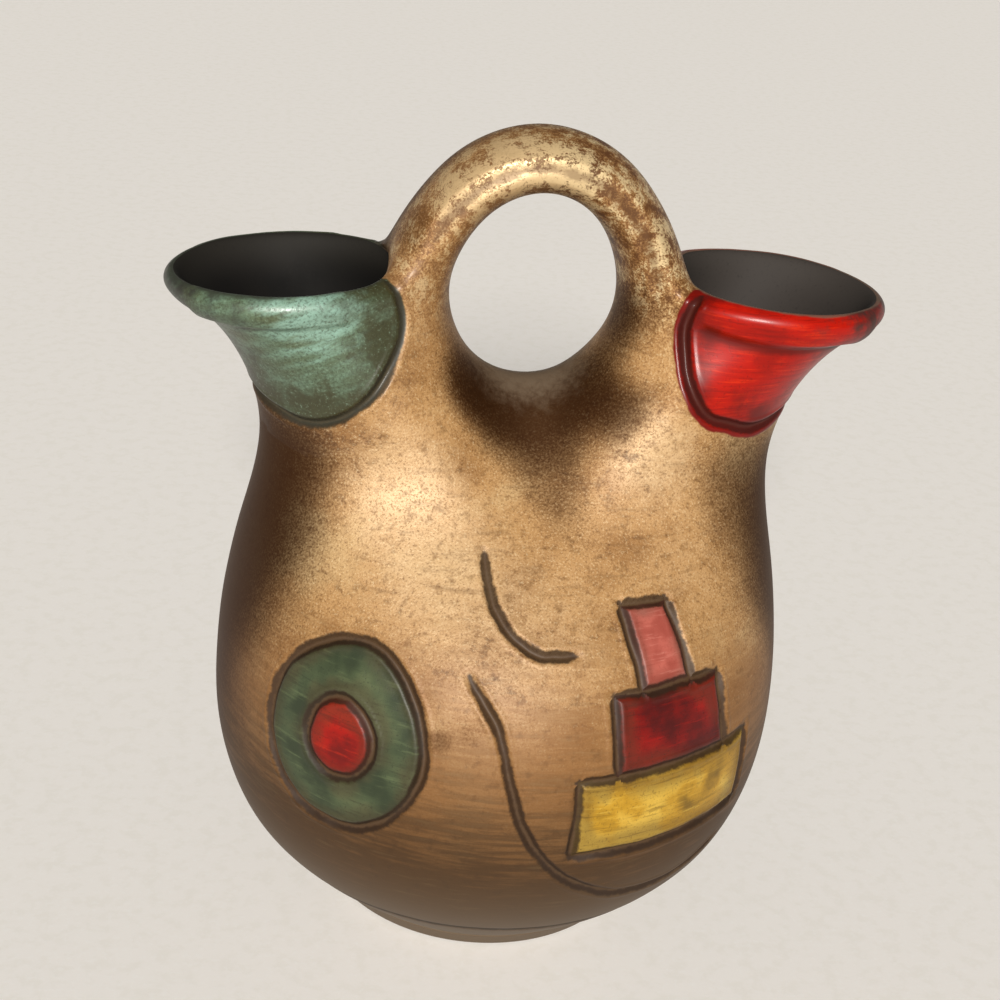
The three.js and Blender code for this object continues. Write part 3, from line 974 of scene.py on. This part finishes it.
class Finish:
    """A material made of coats that are laid one over another."""

    def __init__(self, name):
        self.material = bpy.data.materials.new(name)
        self.material.use_nodes = True
        self.material.node_tree.nodes.clear()
        self.coats = {}
        place = self.add("TexCoord", out="Object")
        self.place = self.add("VectorMath", {0: place, 1: [1 / MM] * 3}, operation="MULTIPLY")
        axes = self.add("SeparateXYZ", {0: self.place}).node.outputs
        self.across, self.height = axes["X"], axes["Z"]

    def add(self, kind, inputs=None, out=0, **settings):
        """Adds a node, sets or links its inputs and returns one of its outputs, if it has any."""
        tree = self.material.node_tree
        node = tree.nodes.new("ShaderNode" + kind)
        for name, value in settings.items():
            setattr(node, name, value)
        for key, value in (inputs or {}).items():
            if isinstance(value, bpy.types.NodeSocket):
                tree.links.new(value, node.inputs[key])
            else:
                node.inputs[key].default_value = value
        return node.outputs[out] if node.outputs else node

    def mottle(self, size, detail=2.0, rough=0.5, flat=1.0, place=None):
        """Soft noise with lumps of about the given size in millimetres, flattened to a share of it."""
        place = self.place if place is None else place
        scale = [1 / size, 1 / size, 1 / (size * flat)]
        scaled = self.add("VectorMath", {0: place, 1: scale}, operation="MULTIPLY")
        return self.add("TexNoise", {"Vector": scaled, "Scale": 1.0, "Detail": detail, "Roughness": rough})

    def nudged(self, value, by, low, high, start=0.3, end=0.7):
        """A value, shifted by low to high while another goes from start to end. It makes an edge ragged."""
        shift = self.add("MapRange", dict(zip(RANGE, (by, start, end, low, high))), **SOFT)
        return self.add("Math", {0: value, 1: shift}, operation="ADD")

    def joined(self, under, over, mask):
        """Two sets of coats as one. The second lies on top where the mask is 1."""
        result = {}
        for name, value in under.items():
            kind, below, above, out = ("RGBA", 6, 7, 2) if name == "colour" else ("FLOAT", 2, 3, 0)
            inputs = {0: mask, below: value, above: over[name]}
            alike = value == over[name]
            result[name] = value if alike else self.add("Mix", inputs, out, data_type=kind)
        return result

    def lay(self, code, rough, metal, height, by=None, start=0.0, end=1.0, most=1.0, within=None):
        """Lays a coat that thickens while a value goes from start to end, and stays within another mask."""
        coat = {"colour": paint(code), "rough": rough, "metal": metal, "height": height}
        mask = most
        if by is not None:
            mask = self.add("MapRange", dict(zip(RANGE, (by, start, end, 0, most))), **SOFT)
        if within is not None:
            mask = self.add("Math", {0: within, 1: mask}, operation="MULTIPLY")
        self.coats = self.joined(self.coats, coat, mask) if self.coats else coat

    def fired(self, ior=1.5, gloss=0.0, gloss_rough=0.2, relief=0.1):
        """The finished material. Relief is the height of its coats in millimetres."""
        coats = self.coats
        bump = self.add("Bump", {"Strength": 1.0, "Distance": relief * MM, "Height": coats["height"]})
        shader = self.add("BsdfPrincipled", {
            "Base Color": coats["colour"], "Roughness": coats["rough"], "Metallic": coats["metal"],
            "Normal": bump, "IOR": ior, "Coat Weight": gloss, "Coat Roughness": gloss_rough,
        })
        self.add("OutputMaterial", {"Surface": shader})
        return self.material


print("a middle grey is", round(paint("#808080")[0], 3), "in linear light")

# %% [markdown]
# ## The ground: bronze powder on burnished clay
# The whole pot was first rubbed with bronze powder in a clear medium. Dark clay grains show through it, and
# brown washes were brushed round the belly, darker towards the foot, where painted shade deepens them. The
# strap carries torn gold leaf. Pale painted highlights lie on the shoulder, the chest and the strap. Brown
# was sprayed on the sides and in the fork, where it keeps a dull metal sheen; the same brown is also painted
# shade where the sides turn from the light and in the fork under the strap. A painted grey sheen lies on the
# crest of the fork, painted grey shade and floor reflection at the base, and painted shade in the folds.
# Scored lines were filled with brown stain and wiped, so it stays at the bottom of each channel. One noise
# would look like stone, so each of these has its own, of its real size, in the real order.

# %% The ground
# Middle of the painted grey sheen on the crest of the fork
CREST = (1, 1, 149)


def bronze_ground(finish):
    clouds = finish.mottle(24, 4, 0.55)
    streaks = finish.mottle(16, 5, 0.6, flat=0.1)
    freckles = finish.mottle(2.2, 4, 0.6)
    # Grains of about 0.3 mm are drawn 0.5 mm wide, because finer ones would fall between two pixels
    grains = finish.mottle(0.5, 3, 0.7)
    smears = finish.mottle(3.4, 5, 0.68, flat=0.7)
    names = ("rubbed", "gilt", "spray", "fold")
    rubbed, gilt, spray, fold = (finish.add("Attribute", out="Fac", attribute_name=name) for name in names)

    # Powder laid thin and thick, pale painted highlights, and the clay's own grains
    finish.lay("#B88E5C", 0.46, 0.08, 0.5)
    finish.lay("#94693A", 0.5, 0.1, 0.45, clouds, 0.48, 0.68, 0.9)
    finish.lay("#C8A574", 0.44, 0.12, 0.55, clouds, 0.46, 0.32, 0.85)
    # Pale colour painted as highlights on the shoulder, the chest and the strap
    finish.lay("#D2B084", 0.44, 0.12, 0.55, finish.nudged(rubbed, smears, 0, -0.3), 0, 1, 0.85)
    finish.lay("#8A6031", 0.5, 0.08, 0.4, freckles, 0.50, 0.72, 0.5)
    clusters = finish.nudged(smears, clouds, -0.12, 0.1, 0.40, 0.66)
    finish.lay("#5B3B1C", 0.52, 0.05, 0.3, clusters, 0.62, 0.74, 0.6)
    finish.lay("#6B4521", 0.52, 0.1, 0.1, grains, 0.49, 0.72, 0.65)
    finish.lay("#EAD5AC", 0.42, 0.15, 0.9, grains, 0.47, 0.26, 0.5)

    # Brown washes that darken downwards, partly real wash and partly painted shade, and the streaks of their
    # brush
    brushed = finish.nudged(finish.height, streaks, -7, 7)
    finish.lay("#83592F", 0.5, 0.08, 0.4, brushed, 104, 72, 0.85)
    finish.lay("#36230E", 0.6, 0.2, 0.4, brushed, 80, 42, 0.88)
    finish.lay("#5F3F1E", 0.5, 0.08, 0.35, streaks, 0.54, 0.72, 0.35)
    finish.lay("#2B1A0A", 0.55, 0.1, 0.35, freckles, 0.52, 0.74, 0.2)
    upper = finish.add("MapRange", dict(zip(RANGE, (finish.height, 58, 100, 0.2, 1))), **SOFT)
    finish.lay("#CDAA78", 0.46, 0.12, 0.6, streaks, 0.44, 0.28, 0.25, within=upper)

    # Gold leaf on the strap: its glue, bald clay where it tore off, the leaf that is left, and pits in it
    torn = finish.nudged(finish.mottle(4.2, 9, 0.76), grains, -0.05, 0.05)
    finish.lay("#A0723F", 0.38, 0.3, 0.4, most=0.8, within=gilt)
    finish.lay("#553016", 0.5, 0.05, 0.1, torn, 0.48, 0.60, 0.9, within=gilt)
    # Painted highlights keep more leaf and fewer pits on the strap
    left = finish.nudged(torn, rubbed, 0, -0.12, 0, 1)
    finish.lay("#E6CC9C", 0.36, 0.3, 1.0, left, 0.50, 0.40, 0.9, within=gilt)
    pits = finish.nudged(grains, rubbed, 0, -0.1, 0, 1)
    finish.lay("#6E4520", 0.5, 0.1, 0.2, pits, 0.48, 0.68, 0.75, within=gilt)

    # Brown spray that is also painted shade, painted grey sheen on the crest of the fork, painted shade in
    # the folds
    finish.lay("#3C2009", 0.62, 0.8, 0.4, finish.nudged(spray, grains, -0.09, 0.09), 0.05, 0.95, 0.95)
    # A painted grey sheen round the crest of the fork
    from_crest = finish.add("VectorMath", {0: finish.place, 1: CREST}, out="Value", operation="DISTANCE")
    finish.lay("#7A6A57", 0.6, 0.1, 0.4, finish.nudged(from_crest, freckles, -1.5, 1.5), 19, 8, 0.75)
    # Painted shade along the lips' creases and the hollow of the strap
    finish.lay("#5F3F20", 0.52, 0.05, 0.3, finish.nudged(fold, smears, -0.8, 0.8), 2.2, 0.5, 0.6)
    # Painted grey shade and floor reflection towards the base, and a dark line along the scored ring above
    # the foot
    finish.lay("#6E5E4B", 0.6, 0.0, 0.4, finish.height, 50, 8, 0.75)
    over_line = finish.nudged(finish.height, freckles, -0.2 - RING_Z, 0.2 - RING_Z)
    from_line = finish.add("Math", {0: over_line}, operation="ABSOLUTE")
    finish.lay("#2C2118", 0.6, 0.0, 0.1, from_line, 1.4, 0.5, 0.85)


def stained_lines(finish, stain="#2B1B0E", wiped="#523C26"):
    """Stain left in the scored channels: dark in the corners, paler where the bottom was wiped."""
    cut = finish.add("Attribute", out="Fac", attribute_name="cut")
    cut = finish.nudged(cut, finish.mottle(1.6, 4, 0.6), -0.2, 0.2)
    finish.lay(stain, 0.58, 0.0, 0.3, cut, 1.9, 1.2, 0.88)
    finish.lay(wiped, 0.55, 0.05, 0.3, cut, 0.8, 0.2, 0.75)


def bronze():
    """Metal powder in a thin clear medium gives a warm, half metallic tan with broad soft highlights."""
    finish = Finish("bronze powder rubbed on burnished clay")
    bronze_ground(finish)
    stained_lines(finish)
    return finish.fired(ior=1.42, relief=0.12)


BRONZE = bronze()
print("made:", BRONZE.name)

# %% [markdown]
# ## Panel glazes
# The left panel was brushed with a thin green that pooled unevenly. The right one is a thick red that
# melted to a gloss. Both stop a little outside the scored border, where a bare margin of the colour shows,
# and both wore down along the lip. Panels cut out as pieces would leave hard edges, so each glaze is laid
# over the ground.

# %% Panel glazes
def fill_panel(finish, ground, margin, stain, wiped):
    """Keeps a glaze to its panel and a margin round it, and adds the stained border and the soot."""
    panel = finish.add("Attribute", out="Fac", attribute_name="panel")
    edge = finish.nudged(panel, finish.mottle(5, 3), -0.2, 0.2)
    mask = finish.add("MapRange", dict(zip(RANGE, (edge, margin + 0.3, margin - 0.3, 0, 1))), **SOFT)
    finish.coats = finish.joined(ground, finish.coats, mask)
    stained_lines(finish, stain, wiped)
    # Soot that the smoke left over the outermost part of a lip
    outward = finish.add("Math", {0: finish.across}, operation="ABSOLUTE")
    outward = finish.nudged(outward, finish.mottle(7, 5, 0.65), -9, 9)
    finish.lay("#2C2A26", 0.5, 0.0, 0.4, outward, 63, 86, 0.9)


# Middle of a pale highlight painted on the front of the green lip
GREEN_PAINTED_HIGHLIGHT = (-51, -27, 165)


def green():
    """A thin glaze is half glossy and lets the brush show, so it streaks from mint to olive."""
    finish = Finish("thin brushed green glaze")
    bronze_ground(finish)
    ground, finish.coats = finish.coats, {}
    pools = finish.mottle(9, 5, 0.62, flat=0.8)
    turned = finish.add("VectorRotate", {"Vector": finish.place, "Angle": 0.4}, rotation_type="Y_AXIS")
    brushed = finish.mottle(11, 5, 0.6, flat=0.22, place=turned)
    grains = finish.mottle(0.7, 3, 0.7)
    panel, rim = (finish.add("Attribute", out="Fac", attribute_name=name) for name in ("panel", "rim"))
    finish.lay("#596B53", 0.36, 0.0, 0.5)
    finish.lay("#76957F", 0.34, 0.0, 0.6, brushed, 0.62, 0.30, 0.75)
    finish.lay("#565B3B", 0.4, 0.0, 0.4, pools, 0.42, 0.70, 0.7)
    finish.lay("#474D33", 0.42, 0.0, 0.4, brushed, 0.56, 0.74, 0.4)
    from_painted_highlight = finish.add("VectorMath", {0: finish.place, 1: GREEN_PAINTED_HIGHLIGHT}, out="Value", operation="DISTANCE")
    # Pale mint painted as a highlight on the front of the lip
    finish.lay("#9AC2B2", 0.32, 0.0, 0.6, finish.nudged(from_painted_highlight, brushed, -4, 4), 15, 2, 0.7)
    finish.lay("#37361D", 0.46, 0.0, 0.3, finish.nudged(panel, pools, -6, 6), -19, -2, 0.95)
    finish.lay("#2E301C", 0.5, 0.0, 0.2, grains, 0.45, 0.70, 0.65)
    finish.lay("#93AD97", 0.36, 0.0, 0.6, grains, 0.44, 0.26, 0.4)
    fill_panel(finish, ground, 0.8, "#241F10", "#3E3520")
    finish.lay("#34372C", 0.5, 0.0, 0.3, finish.nudged(rim, pools, -1, 1), 1.6, 0.2, 0.8)
    return finish.fired(gloss=0.12, relief=0.15)


def red():
    """A thick glaze that melted smooth gives a deep colour under a bright, sharp reflection."""
    finish = Finish("glossy brushed red glaze")
    bronze_ground(finish)
    ground, finish.coats = finish.coats, {}
    pools = finish.mottle(12, 4)
    brushed = finish.mottle(11, 5, 0.65, flat=0.07)
    grains = finish.mottle(0.7, 3, 0.7)
    names = ("panel", "fold", "rim")
    panel, fold, rim = (finish.add("Attribute", out="Fac", attribute_name=name) for name in names)
    finish.lay("#AE1405", 0.34, 0.0, 0.5)
    finish.lay("#CE2C0A", 0.32, 0.0, 0.55, brushed, 0.48, 0.34, 0.7)
    finish.lay("#7E0F06", 0.36, 0.0, 0.45, brushed, 0.52, 0.68, 0.7)
    finish.lay("#8A1006", 0.34, 0.0, 0.5, pools, 0.50, 0.68, 0.7)
    finish.lay("#5C0A04", 0.36, 0.0, 0.4, finish.nudged(panel, pools, -4, 4), -8, 0, 0.85)
    # Painted shade along the crease under the lip's roll
    finish.lay("#4E0A04", 0.4, 0.0, 0.3, fold, 2.4, 0.3, 0.8)
    finish.lay("#5A0B05", 0.4, 0.0, 0.3, grains, 0.54, 0.74, 0.5)
    fill_panel(finish, ground, 2.6, "#38100A", "#4A1A10")
    finish.lay("#6C5B4C", 0.55, 0.0, 0.4, finish.nudged(rim, pools, -0.4, 0.4), 1.3, 0.6, 0.8)
    return finish.fired(ior=1.3, gloss=0.1, gloss_rough=0.16, relief=0.08)


GREEN, RED = green(), red()
print("made:", GREEN.name, "and", RED.name)

# %% [markdown]
# ## Paints on the belly
# Between the scored outlines the maker laid slips of flat colour with a small brush and left brush marks in
# them. Five separate recipes would drift apart, so there is one, with a body colour, darker and lighter
# streaks and fine grain, and only its colours change.

# %% Paints on the belly
def slip_paint(name, body, dark, light):
    """Slip is clay thinned with water. It dries to a flat colour with streaks and only a faint shine."""
    finish = Finish(name)
    streaks = finish.mottle(12, 5, 0.62, flat=0.09)
    clouds = finish.mottle(12, 3)
    grains = finish.mottle(0.6, 3, 0.7)
    cut = finish.add("Attribute", out="Fac", attribute_name="cut")
    finish.lay(body, 0.42, 0.03, 0.5)
    finish.lay(light, 0.4, 0.03, 0.55, clouds, 0.50, 0.34, 0.8)
    finish.lay(dark, 0.45, 0.02, 0.4, clouds, 0.46, 0.66, 0.9)
    finish.lay(dark, 0.45, 0.02, 0.4, streaks, 0.52, 0.70, 0.6)
    finish.lay(light, 0.4, 0.03, 0.6, streaks, 0.46, 0.30, 0.55)
    finish.lay(dark, 0.5, 0.0, 0.2, grains, 0.52, 0.74, 0.7)
    finish.lay("#3A2614", 0.5, 0.0, 0.3, finish.nudged(cut, clouds, -2.5, 2.5), 6.5, 1.5, 0.55)
    stained_lines(finish)
    return finish.fired(ior=1.4)


PAINTS = {
    "gold": slip_paint("brushed golden ochre slip", "#BC8F26", "#715514", "#E0BA50"),
    "oxblood": slip_paint("brushed oxblood red slip", "#720804", "#400302", "#980F07"),
    "rose": slip_paint("brushed rose slip", "#C66C5E", "#97463A", "#DC8F80"),
    "olive": slip_paint("brushed olive green slip", "#465137", "#2B3422", "#626E4C"),
    "scarlet": slip_paint("brushed scarlet slip", "#A01207", "#640803", "#BC2710"),
}
print("made:", [material.name for material in PAINTS.values()])

# %% [markdown]
# ## Smoked inside and bare foot
# The inside was never painted: smoke from the firing turned it nearly black. Painted light makes it paler
# towards the lips and in the right spout, and painted shade makes it darker deeper down. The underside of the
# foot is bare brown clay, rubbed by shelves. A plain dark colour would hide the form of the mouths, so the
# painted light and shade follow the depth below the lip.

# %% Smoked inside and bare foot
def smoked():
    """Carbon in the clay takes up nearly all light and leaves a matt, almost black wall."""
    finish = Finish("clay smoked dark in the firing")
    drifts = finish.mottle(14, 4, 0.55)
    grains = finish.mottle(0.8, 3, 0.6)
    depth = finish.add("Attribute", out="Fac", attribute_name="rim")
    finish.lay("#110F0D", 0.75, 0.0, 0.5)
    finish.lay("#0B0A09", 0.8, 0.0, 0.45, drifts, 0.42, 0.66, 0.85)
    # Painted light near the lip
    finish.lay("#2B2823", 0.7, 0.0, 0.55, depth, 12, 1, 0.6)
    # Painted shade deeper inside
    finish.lay("#0B0A08", 0.75, 0.0, 0.4, depth, 12, 34, 0.7)
    # Painted light in the right spout
    finish.lay("#443E3A", 0.7, 0.0, 0.5, finish.across, 10, 60, 0.6)
    finish.lay("#12110F", 0.6, 0.0, 0.3, grains, 0.56, 0.76, 0.35)
    return finish.fired(ior=1.3, relief=0.15)


def bare():
    """Fired clay with nothing on it is dull, warm and grainy."""
    finish = Finish("bare fired clay")
    grains = finish.mottle(1.2, 4, 0.65)
    rubbed = finish.mottle(14, 3)
    finish.lay("#6E5440", 0.8, 0.0, 0.5)
    finish.lay("#8A6C52", 0.75, 0.0, 0.6, rubbed, 0.45, 0.62, 0.8)
    finish.lay("#453327", 0.85, 0.0, 0.1, grains, 0.56, 0.66, 0.7)
    return finish.fired(relief=0.2)


SMOKED, BARE = smoked(), bare()
print("made:", SMOKED.name, "and", BARE.name)

# %% [markdown]
# ## Painting the pieces
# Every face gets one finish. Inner skins are smoked, luted faces are bare clay, spouts and lips carry their
# panel glaze, and the faces of the belly that lie inside an outline get that outline's slip. A finish could
# also be chosen by a mask inside one large material, but one per face stays easy to read and to export.

# %% Painting the pieces
BELLY_FILLS = [
    (round_path(DISC, DISC_RADIUS), "olive"), (round_path(DISC, DISC_HEART), "scarlet"),
    (boxed(*TERRACE[0]), "gold"), (boxed(*TERRACE[1]), "oxblood"), (boxed(*TERRACE[2]), "rose"),
]
FINISHES = [BRONZE, SMOKED, BARE, GREEN, RED, *PAINTS.values()]
PANEL_REACH = 8.0
# The foot's underside is bare, and so is its top inside the belly
FOOT_BARE_BELOW, FOOT_BARE_WITHIN = 0.05, 35


def face_middles(mesh, points):
    _, sides, corners = faces_of(mesh)
    starts = np.concatenate([[0], np.cumsum(sides)[:-1]])
    return np.add.reduceat(points[corners], starts, axis=0) / sides[:, None]


def finish_of_faces(piece, mesh, points, skins):
    chosen = np.full(len(skins), FINISHES.index(BRONZE))
    middles = face_middles(mesh, points)
    if piece in ("belly_bowl", "shoulder_saddle"):
        across = np.arctan2(middles[:, 0], -middles[:, 1]) * BELLY_ROUND
        for outline, name in BELLY_FILLS:
            within = inside([tuple(p) for p in outline], across, middles[:, 2])
            chosen[within] = FINISHES.index(PAINTS[name])
    if piece != "belly_bowl":
        near_panel = panel_depth(middles) < PANEL_REACH
        chosen[near_panel & (middles[:, 0] < 0)] = FINISHES.index(GREEN)
        chosen[near_panel & (middles[:, 0] > 0)] = FINISHES.index(RED)
    chosen[skins == INSIDE] = FINISHES.index(SMOKED)
    chosen[skins == LUTED] = FINISHES.index(BARE)
    return chosen


def give_finishes(mesh, chosen):
    used = sorted(set(chosen.tolist()))
    for index in used:
        mesh.materials.append(FINISHES[index])
    slots = np.searchsorted(used, chosen)
    mesh.polygons.foreach_set("material_index", slots.astype(np.int32))
    return [FINISHES[index].name for index in used]


def stand(mesh, piece):
    made = bpy.data.objects.new(f"painted_{piece}", mesh)
    bpy.context.scene.collection.objects.link(made)
    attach(made, "root")
    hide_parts(piece)
    return made


for piece, mesh in meshes.items():
    points, skins = finished[piece]
    names = give_finishes(mesh, finish_of_faces(piece, mesh, points, skins))
    stand(mesh, piece)
    print(piece, "carries", len(names), "finishes")
foot_radius = np.hypot(foot_spots[:, 0], foot_spots[:, 1])
foot_bare = np.array([
    (foot_spots[loop, 2] < FOOT_BARE_BELOW).all() or (foot_radius[loop] < FOOT_BARE_WITHIN).any()
    for loop in foot_faces
])
give_finishes(foot_mesh, np.where(foot_bare, FINISHES.index(BARE), FINISHES.index(BRONZE)))
stand(foot_mesh, "foot_slab")
print("foot_slab has", int(foot_bare.sum()), "bare faces")

# %% [markdown]
# ## Floor and light
# The pot stands on a wide sheet of pale paper, whose rim curls up a little so that a low view still ends on
# paper. One wide, distant softbox above the camera gives the broad highlights on shoulder, lips and handle,
# which painted highlights make brighter, and leaves the lower belly in half shade, which painted shade makes
# deeper; a pale surround fills the shadows. A lamp near the pot would need its distance tuned, while a sun
# with a wide disc gives the same soft edge from far off.

# %% Floor and light
# Radius of the flat middle and of the whole sheet, and the rise of its rim, in metres
FLOOR_FLAT, FLOOR_EDGE, FLOOR_RISE = 3.5, 12.0, 1.2
FLOOR_SIDES, FLOOR_RINGS = 96, 12
KEY_AZIMUTH, KEY_ELEVATION, KEY_SOFTNESS, KEY_STRENGTH = -9, 29, 14, 4.3
SURROUND_STRENGTH = 0.1


def paper():
    """Matt paper is almost white and shows no highlight."""
    finish = Finish("pale matt paper")
    fibres = finish.mottle(1.5, 3)
    flecks = finish.mottle(5, 3, 0.6)
    finish.lay("#FDFAF6", 0.9, 0.0, 0.5)
    finish.lay("#F8F5EF", 0.9, 0.0, 0.4, flecks, 0.45, 0.65, 0.7)
    finish.lay("#FFFEFB", 0.9, 0.0, 0.7, fibres, 0.5, 0.7, 0.4)
    # The paper is pale to the eye but throws back only as much light as a small sheet would
    pale, finish.coats = finish.coats, {}
    finish.lay("#A09C95", 0.9, 0.0, 0.5)
    rays = finish.add("LightPath").node.outputs
    seen = rays["Is Camera Ray"]
    for kind in ("Is Glossy Ray", "Is Transmission Ray"):
        seen = finish.add("Math", {0: seen, 1: rays[kind]}, operation="MAXIMUM")
    finish.coats = finish.joined(finish.coats, pale, seen)
    return finish.fired(relief=0.05)


floor_mesh = bpy.data.meshes.new("paper")
floor_points, floor_faces = [], [tuple(range(FLOOR_SIDES))]
for ring in range(FLOOR_RINGS + 1):
    share = ring / FLOOR_RINGS
    radius = FLOOR_FLAT + (FLOOR_EDGE - FLOOR_FLAT) * share
    for i in range(FLOOR_SIDES):
        turn = math.tau * i / FLOOR_SIDES
        floor_points.append((radius * math.cos(turn), radius * math.sin(turn), FLOOR_RISE * share ** 2))
        if ring:
            here, after = (ring * FLOOR_SIDES + k for k in (i, (i + 1) % FLOOR_SIDES))
            floor_faces.append((here - FLOOR_SIDES, here, after, after - FLOOR_SIDES))
floor_mesh.from_pydata(floor_points, [], floor_faces)
floor_mesh.shade_smooth()
floor_mesh.materials.append(paper())
floor = bpy.data.objects.new("paper", floor_mesh)
bpy.context.scene.collection.objects.link(floor)

key = bpy.data.objects.new("soft key light", bpy.data.lights.new("soft key light", "SUN"))
key.data.angle = math.radians(KEY_SOFTNESS)
key.data.energy = KEY_STRENGTH
key.data.color = paint("#FFFBF5")[:3]
key.rotation_euler = (math.radians(90 - KEY_ELEVATION), 0, math.radians(KEY_AZIMUTH))
bpy.context.scene.collection.objects.link(key)
world = bpy.data.worlds.new("pale surround")
world.use_nodes = True
background = world.node_tree.nodes["Background"].inputs
background["Color"].default_value = paint("#F2EFEA")
background["Strength"].default_value = SURROUND_STRENGTH
bpy.context.scene.world = world
bpy.context.scene.view_settings.view_transform = "Standard"
print("floor is", 2 * FLOOR_EDGE, "m wide")
